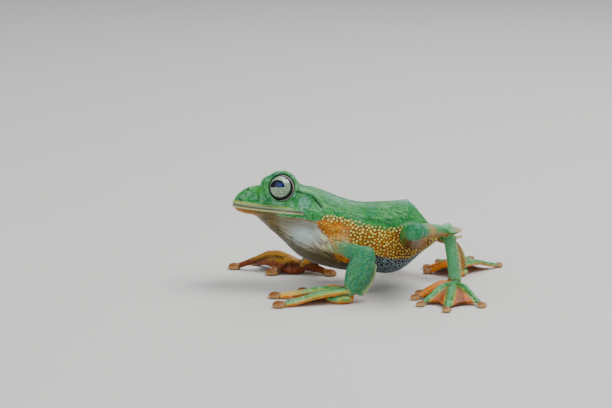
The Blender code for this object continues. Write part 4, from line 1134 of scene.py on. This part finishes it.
def skinColour(tree, broad, small, large):
    patches, finePatches, widePatches = (group.outputs["Patches"] for group in (broad, small, large))
    specks, fineSpecks, tinySpecks = (group.outputs["Specks"] for group in (broad, small, large))
    net = small.outputs["Net"]

    armGreen = layered(
        tree, skinPaint, "teal", (patches, 0.8, "armGreen"),
        (remap(tree, finePatches, 0.5, 1.0, 0.0, 0.7), 1.0, "greenDark"),
        (remap(tree, fineSpecks, 0.6, 0.9, 0.0, 0.75), 1.0, "speckBlue"),
        (remap(tree, tinySpecks, 0.7, 1.0, 0.0, 0.85), 1.0, "speckYellow"))
    kneeSpeck = product(tree, mask(tree, "knee"), remap(tree, specks, 0.25, 0.0, 0.0, 0.8))
    green = layered(
        tree, skinPaint, "green", (patches, 0.75, "greenLight"),
        (remap(tree, widePatches, 0.45, 1.0, 0.0, 0.6), 1.0, "teal"),
        (remap(tree, finePatches, 0.5, 1.0, 0.0, 0.6), 1.0, "greenDark"),
        (remap(tree, widePatches, 0.4, 0.0, 0.0, 0.3), 1.0, "mint"),
        (remap(tree, specks, 0.5, 1.3, 0.0, 0.4), 1.0, "mint"),
        ("headMottle", 0.62, "mint"), ("sideStreak", 0.5, "greenDark"), ("snoutLight", 0.8, "leaf"),
        ("snoutSpot", 0.7, "lidDark"), ("tarsus", 0.4, "mint"), ("knee", 0.5, "teal"),
        (kneeSpeck, 1.0, "speckNavy"), ("arm", 1.0, armGreen), ("shoulder", 0.6, "upperArm"),
        ("wrinkle", 0.45, "wrinkle"), ("shankTop", 0.7, "mint"), ("peach", 0.9, "peach"),
        ("lowerLid", 0.5, "lowerLid"), ("eardrum", 0.4, "eardrum"), ("eardrumRing", 0.25, "greenDark"),
        # painted highlights on the fold's ridge, the crest of the back and the top of the hip, and painted
        # shade in the fold's crease
        ("foldLight", 0.5, "ridge"), ("foldShade", 0.7, "greenDark"), ("backLight", 0.45, "backLight"),
        ("hipHighlight", 0.5, "backLight"))

    chest = layered(
        tree, skinPaint, "chestShade", ("chestLight", 1.0, "chest"), (patches, 0.25, "chestShade"),
        ("fleshFold", 0.9, "fold"), ("jawShade", 0.75, "jawShade"), ("throat", 1.0, "throat"),
        ("under", 0.9, "under"))
    belly = layered(tree, skinPaint, "belly", (net, 1.0, "bellyNet"))
    orange = layered(
        tree, skinPaint, "orange", (patches, 1.0, "orangeLight"), (finePatches, 0.65, "orangeDark"),
        ("rear", 0.75, "orangeDark"), (net, 0.5, "orangeDark"),
        (remap(tree, widePatches, 0.55, 1.0, 0.0, 0.5), 1.0, "orangeDark"),
        ("thighShade", 0.7, "thighShade"), ("smudge", 0.25, "smudge"))
    armRoot = layered(tree, skinPaint, "fold", (patches, 1.0, "upperArm"))
    granule = layered(
        tree, skinPaint, "granule", ("granuleTone", 1.0, "granuleDim"), ("granulePale", 1.0, "granulePale"))
    granuleZone, granuleGap = mask(tree, "granuleZone"), mask(tree, "granuleGap")
    # painted shade: a darker orange ring round the foot of each granule
    foot = product(tree, remap(tree, granuleGap, 1.7, 1.0, 0.0, 0.65), granuleZone)
    inside = product(tree, remap(tree, granuleGap, 1.06, 0.62), granuleZone)

    cream = product(tree, mask(tree, "tipCream"), remap(tree, specks, 0.2, 0.7))
    web = layered(tree, skinPaint, "webOrange", (patches, 0.5, "orange"), ("webCrease", 0.6, "orangeDark"))
    rust = layered(tree, skinPaint, "rust", (patches, 0.6, "orangeDark"), ("knuckle", 0.5, "knuckle"))
    disc = layered(tree, skinPaint, "tan", (finePatches, 0.45, "tanDark"))
    digit = layered(
        tree, skinPaint, "digit", (patches, 1.0, "green"),
        (remap(tree, fineSpecks, 0.55, 1.0, 0.0, 0.6), 1.0, "teal"),
        ("digitEdge", 0.5, "digitEdge"), ("tipOrange", 0.85, "orangeLight"), (cream, 0.4, "fold"),
        ("innerDigit", 1.0, "orange"), ("sole", 1.0, "orange"), ("web", 1.0, web), ("rust", 1.0, rust),
        ("disc", 1.0, disc), ("discRim", 0.6, "tanPale"))

    return layered(
        tree, skinPaint, chest, ("belly", 1.0, belly), ("orange", 1.0, orange), ("armRoot", 0.85, armRoot),
        ("green", 1.0, green), ("jawLine", 0.8, "jawLine"), ("flap", 0.8, "flap"), ("fringe", 0.75, "fringe"),
        (foot, 1.0, "orangeDark"), (inside, 1.0, granule), ("frontLip", 0.85, "frontLip"),
        ("lipGrey", 0.8, "lipGrey"), ("upperLip", 0.85, "lipYellow"), ("lowerLip", 0.8, "lipCream"),
        ("mouthLine", 1.0, "mouthLine"), ("rearLidReflection", 0.6, "rearLidReflection"), ("lidShade", 0.7, "lidDark"),
        ("lidRim", 0.85, "lidBlue"), ("nostril", 1.0, "nostril"), ("vent", 0.7, "lidDark"),
        ("digit", 1.0, digit))


def skinFinish():
    made = bpy.data.materials.new("frogSkinPaint")
    made.use_nodes = True
    tree = made.node_tree
    shader = tree.nodes["Principled BSDF"]
    broad = useGroup(tree, mottling, Patch_scale=560.0, Speck_scale=2000.0, Shift=0.0)
    small = useGroup(tree, mottling, Patch_scale=1300.0, Speck_scale=3400.0, Shift=7.0)
    large = useGroup(tree, mottling, Patch_scale=230.0, Speck_scale=5200.0, Shift=4.0)
    # painted shade: the colour is darkened in hollows and creases by the hollow mask
    shade = remap(tree, mask(tree, "hollow"), 0.5, 1.0, 1.0, 0.45)
    grey = addNode(tree, "ShaderNodeCombineColor", {0: shade, 1: shade, 2: shade}).outputs[0]
    colour = blendColours(tree, 1.0, skinColour(tree, broad, small, large), grey, "MULTIPLY")
    tree.links.new(colour, shader.inputs["Base Color"])
    wet = remap(tree, broad.outputs["Patches"], 0.0, 1.0, skinGloss["moist"], skinGloss["dry"])
    tree.links.new(wet, shader.inputs["Roughness"])
    grain = useGroup(tree, fineGrain, Scale=skinGloss["grainScale"])
    bump = addNode(tree, "ShaderNodeBump", {"Strength": skinGloss["grainStrength"],
                   "Distance": skinGloss["grainDepth"], "Height": grain.outputs["Height"]})
    tree.links.new(bump.outputs["Normal"], shader.inputs["Normal"])
    shader.inputs["Specular IOR Level"].default_value = skinGloss["specular"]
    shader.inputs["Subsurface Weight"].default_value = skinGloss["subsurface"]
    shader.inputs["Subsurface Radius"].default_value = skinGloss["subsurfaceReach"]
    shader.inputs["Subsurface Scale"].default_value = 1.0
    shader.inputs["Coat Weight"].default_value = skinGloss["coat"]
    shader.inputs["Coat Roughness"].default_value = skinGloss["coatRoughness"]
    return made


frogSkin.data.materials.append(skinFinish())
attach(frogSkin, "root")
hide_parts(*[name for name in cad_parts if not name.startswith("eye")])
print("skin painted")

# the eyes: a wet globe with a silvery iris, a half-moon pupil and a black ring, with a painted sky reflection
# in the pupil and a painted highlight on the iris
eyePlan = {
    "globe": 4.1, "bulge": 0.12, "around": 128, "down": 72,
    "lean": 9.0,  # degrees that the head leans
    "irisMiddle": (0.45, 0.50), "irisRadius": 3.14,
    "ringMiddle": (0.27, 0.18), "ringRadius": 3.64,
    "pupilFrom": -0.95, "pupilTo": 3.3, "pupilFoot": 0.36, "pupilHigh": 2.55,
    # places of the painted sky reflection in the pupil and the painted highlight on the iris
    "sky": (-0.8, 0.75), "skySize": (1.2, 0.7), "highlight": (-0.9, 2.7),
    "coat": 0.45, "coatRoughness": 0.03, "specular": 0.1, "smooth": 0.12, "rough": 0.22,
}
eyePaint = {
    "iris": paint(184, 206, 172), "irisShade": paint(116, 144, 118), "irisVein": paint(34, 58, 48),
    "pupil": (0.002, 0.004, 0.014, 1.0), "pupilReflectionBlue": paint(4, 44, 140), "ring": (0.003, 0.004, 0.008, 1.0),
    "white": paint(226, 214, 210), "highlight": paint(236, 246, 240), "rim": paint(30, 50, 80),
}


def eyeMasks(forward, upward, across):
    # distances to the edges of the iris, ring and pupil, and where the painted sky reflection in the pupil
    # and the painted highlight on the iris lie, seen along the eye's axis
    iris = np.hypot(forward - eyePlan["irisMiddle"][0], upward - eyePlan["irisMiddle"][1])
    ring = np.hypot(forward - eyePlan["ringMiddle"][0], upward - eyePlan["ringMiddle"][1])
    middle = (eyePlan["pupilFrom"] + eyePlan["pupilTo"]) / 2
    halfWide = (eyePlan["pupilTo"] - eyePlan["pupilFrom"]) / 2
    halfHigh = eyePlan["pupilHigh"] - eyePlan["pupilFoot"]
    ahead, above = forward - middle, upward - eyePlan["pupilFoot"]
    pupil = np.maximum((np.hypot(ahead / halfWide, above / halfHigh) - 1) * halfHigh, -above)
    (skyX, skyZ), (skyWide, skyHigh), (highlightX, highlightZ) = eyePlan["sky"], eyePlan["skySize"], eyePlan["highlight"]
    inner = np.where(across > 0, 0.0, 5.0)  # the half inside the head has no iris
    return {
        "irisEdge": iris - eyePlan["irisRadius"] + inner, "ringEdge": ring - eyePlan["ringRadius"] + inner,
        "pupilEdge": pupil + inner,
        "pupilSkyReflection": bell(np.hypot((ahead - skyX) / skyWide, (above - skyZ) / skyHigh), 0.75),
        "irisHighlight": bell(np.hypot((forward - highlightX) / 1.5, upward - highlightZ), 1.0),
    }


def eyeGlobe(side):
    turn = eyeFrame(side)[0].to_track_quat("Z", "Y").to_matrix()
    middle = Vector(eyeOfFrame[side])
    around, down = eyePlan["around"], eyePlan["down"]
    lean = math.radians(eyePlan["lean"])
    globe = bmesh.new()
    rings, places = [], []
    for i in range(down + 1):
        tilt = math.pi * i / down
        reach = eyePlan["globe"] - eyePlan["bulge"] + eyePlan["bulge"] * max(math.cos(tilt), 0.0) ** 2
        ring = []
        for j in range(1 if i in (0, down) else around):
            spin = 2 * math.pi * j / around
            way = Vector((math.sin(tilt) * math.cos(spin), math.sin(tilt) * math.sin(spin), math.cos(tilt)))
            offset = (turn @ way) * reach
            ring.append(globe.verts.new((middle + offset - Vector(home)) / 1000))
            across = offset.y * math.cos(lean) - offset.z * math.sin(lean)
            upward = offset.z * math.cos(lean) + offset.y * math.sin(lean)
            places.append((-offset.x, upward, across * sideSign[side]))
        rings.append(ring)
    joinRings(globe, rings[1:-1])
    for pole, ring in ((rings[0][0], rings[1]), (rings[-1][0], rings[-2])):
        for j in range(around):
            globe.faces.new((pole, ring[j], ring[(j + 1) % around]))
    mesh = closeShape(globe, "eyeGlobe")
    mesh.shade_smooth()
    addMasks(mesh, eyeMasks(*np.array(places).T))
    return mesh


def eyeFinish():
    made = bpy.data.materials.new("wetEye")
    made.use_nodes = True
    tree = made.node_tree
    shader = tree.nodes["Principled BSDF"]
    flecks = useGroup(tree, mottling, Patch_scale=1300.0, Speck_scale=4200.0, Shift=3.0)
    patches, specks = flecks.outputs["Patches"], flecks.outputs["Specks"]
    # painted highlight: a whitish patch on the upper iris, broken by the flecks
    highlight = product(tree, mask(tree, "irisHighlight"), remap(tree, patches, 0.85, 0.3))
    irisEdge, ringEdge = mask(tree, "irisEdge"), mask(tree, "ringEdge")
    iris = layered(
        tree, eyePaint, "iris", (patches, 1.0, "irisShade"), (specks, 0.4, "irisVein"),
        (flecks.outputs["Net"], 0.35, "irisVein"),
        (remap(tree, irisEdge, -0.45, -0.02, 0.0, 0.7), 1.0, "irisVein"), (highlight, 0.8, "highlight"))
    # painted reflection: a blue sky patch inside the dark pupil
    pupil = layered(tree, eyePaint, "pupil", ("pupilSkyReflection", 0.75, "pupilReflectionBlue"))
    colour = layered(
        tree, eyePaint, iris, (remap(tree, mask(tree, "pupilEdge"), 0.05, -0.05), 1.0, pupil),
        (remap(tree, irisEdge, -0.06, 0.04), 1.0, "ring"), (remap(tree, ringEdge, -0.04, 0.06), 1.0, "white"),
        (remap(tree, ringEdge, 0.45, 0.6), 1.0, "rim"))
    tree.links.new(colour, shader.inputs["Base Color"])
    gloss = remap(tree, specks, 0.0, 1.0, eyePlan["smooth"], eyePlan["rough"])
    tree.links.new(gloss, shader.inputs["Roughness"])
    shader.inputs["Coat Weight"].default_value = eyePlan["coat"]
    shader.inputs["Coat Roughness"].default_value = eyePlan["coatRoughness"]
    shader.inputs["Specular IOR Level"].default_value = eyePlan["specular"]
    return made


wetEye = eyeFinish()
for side in sideSign:
    globe = bpy.data.objects.new("eye_globe_" + side, eyeGlobe(side))
    bpy.context.scene.collection.objects.link(globe)
    globe.data.materials.append(wetEye)
    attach(globe, "root")
    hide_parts("eye_" + side)
print("eyes made")

# floor, light and camera
stagePlan = {
    "floorTone": (0.72, 0.71, 0.68, 1.0), "floorPaler": 1.06, "floorRough": 0.8, "floorSize": 4.0,
    "worldTone": (0.82, 0.86, 0.90, 1.0), "worldStrength": 0.42,
    "cameraPlace": (-8.57, -687.14, 158.56), "cameraTilt": 79.0, "lens": 139.2,
    "lamps": {  # place in metres, watts and size
        "keyLight": ((0.38, -0.02, 0.68), 5.6, 0.45), "fillLight": ((-0.45, -0.6, 0.45), 4.4, 1.0),
        "backLight": ((0.1, 0.6, 0.55), 1.6, 0.5),
    },
    "lampAim": (0.0, 0.0, 0.02),
}


def makeStage():
    bpy.ops.mesh.primitive_grid_add(x_subdivisions=8, y_subdivisions=8, size=stagePlan["floorSize"])
    floor = bpy.context.object
    floor.name = "floor"
    finish = bpy.data.materials.new("paleFloor")
    finish.use_nodes = True
    tree = finish.node_tree
    shader = tree.nodes["Principled BSDF"]
    place = addNode(tree, "ShaderNodeTexCoord").outputs["Object"]
    cloud = addNode(tree, "ShaderNodeTexNoise", {"Vector": place, "Scale": 3.0, "Detail": 2.0}).outputs[0]
    tone = stagePlan["floorTone"]
    paler = tuple(min(v * stagePlan["floorPaler"], 1.0) for v in tone[:3]) + (1.0,)
    tree.links.new(blendColours(tree, cloud, tone, paler), shader.inputs["Base Color"])
    shader.inputs["Roughness"].default_value = stagePlan["floorRough"]
    floor.data.materials.append(finish)
    world = bpy.data.worlds.new("softRoom")
    bpy.context.scene.world = world
    world.use_nodes = True
    world.node_tree.nodes["Background"].inputs[0].default_value = stagePlan["worldTone"]
    world.node_tree.nodes["Background"].inputs[1].default_value = stagePlan["worldStrength"]
    for name, (place, power, size) in stagePlan["lamps"].items():
        lamp = bpy.data.lights.new(name, "AREA")
        lamp.energy = power
        lamp.size = size
        holder = bpy.data.objects.new(name, lamp)
        holder.location = place
        aim = Vector(stagePlan["lampAim"]) - Vector(place)
        holder.rotation_euler = aim.to_track_quat("-Z", "Y").to_euler()
        bpy.context.scene.collection.objects.link(holder)
    view = bpy.data.cameras.new("photoView")
    view.lens = stagePlan["lens"]
    view.sensor_width = 36.0
    view.clip_start = 0.01
    camera = bpy.data.objects.new("photoView", view)
    camera.location = (Vector(stagePlan["cameraPlace"]) - Vector(home)) / 1000
    camera.rotation_euler = (math.radians(stagePlan["cameraTilt"]), 0.0, 0.0)
    bpy.context.scene.collection.objects.link(camera)
    bpy.context.scene.camera = camera


makeStage()
print("stage set")
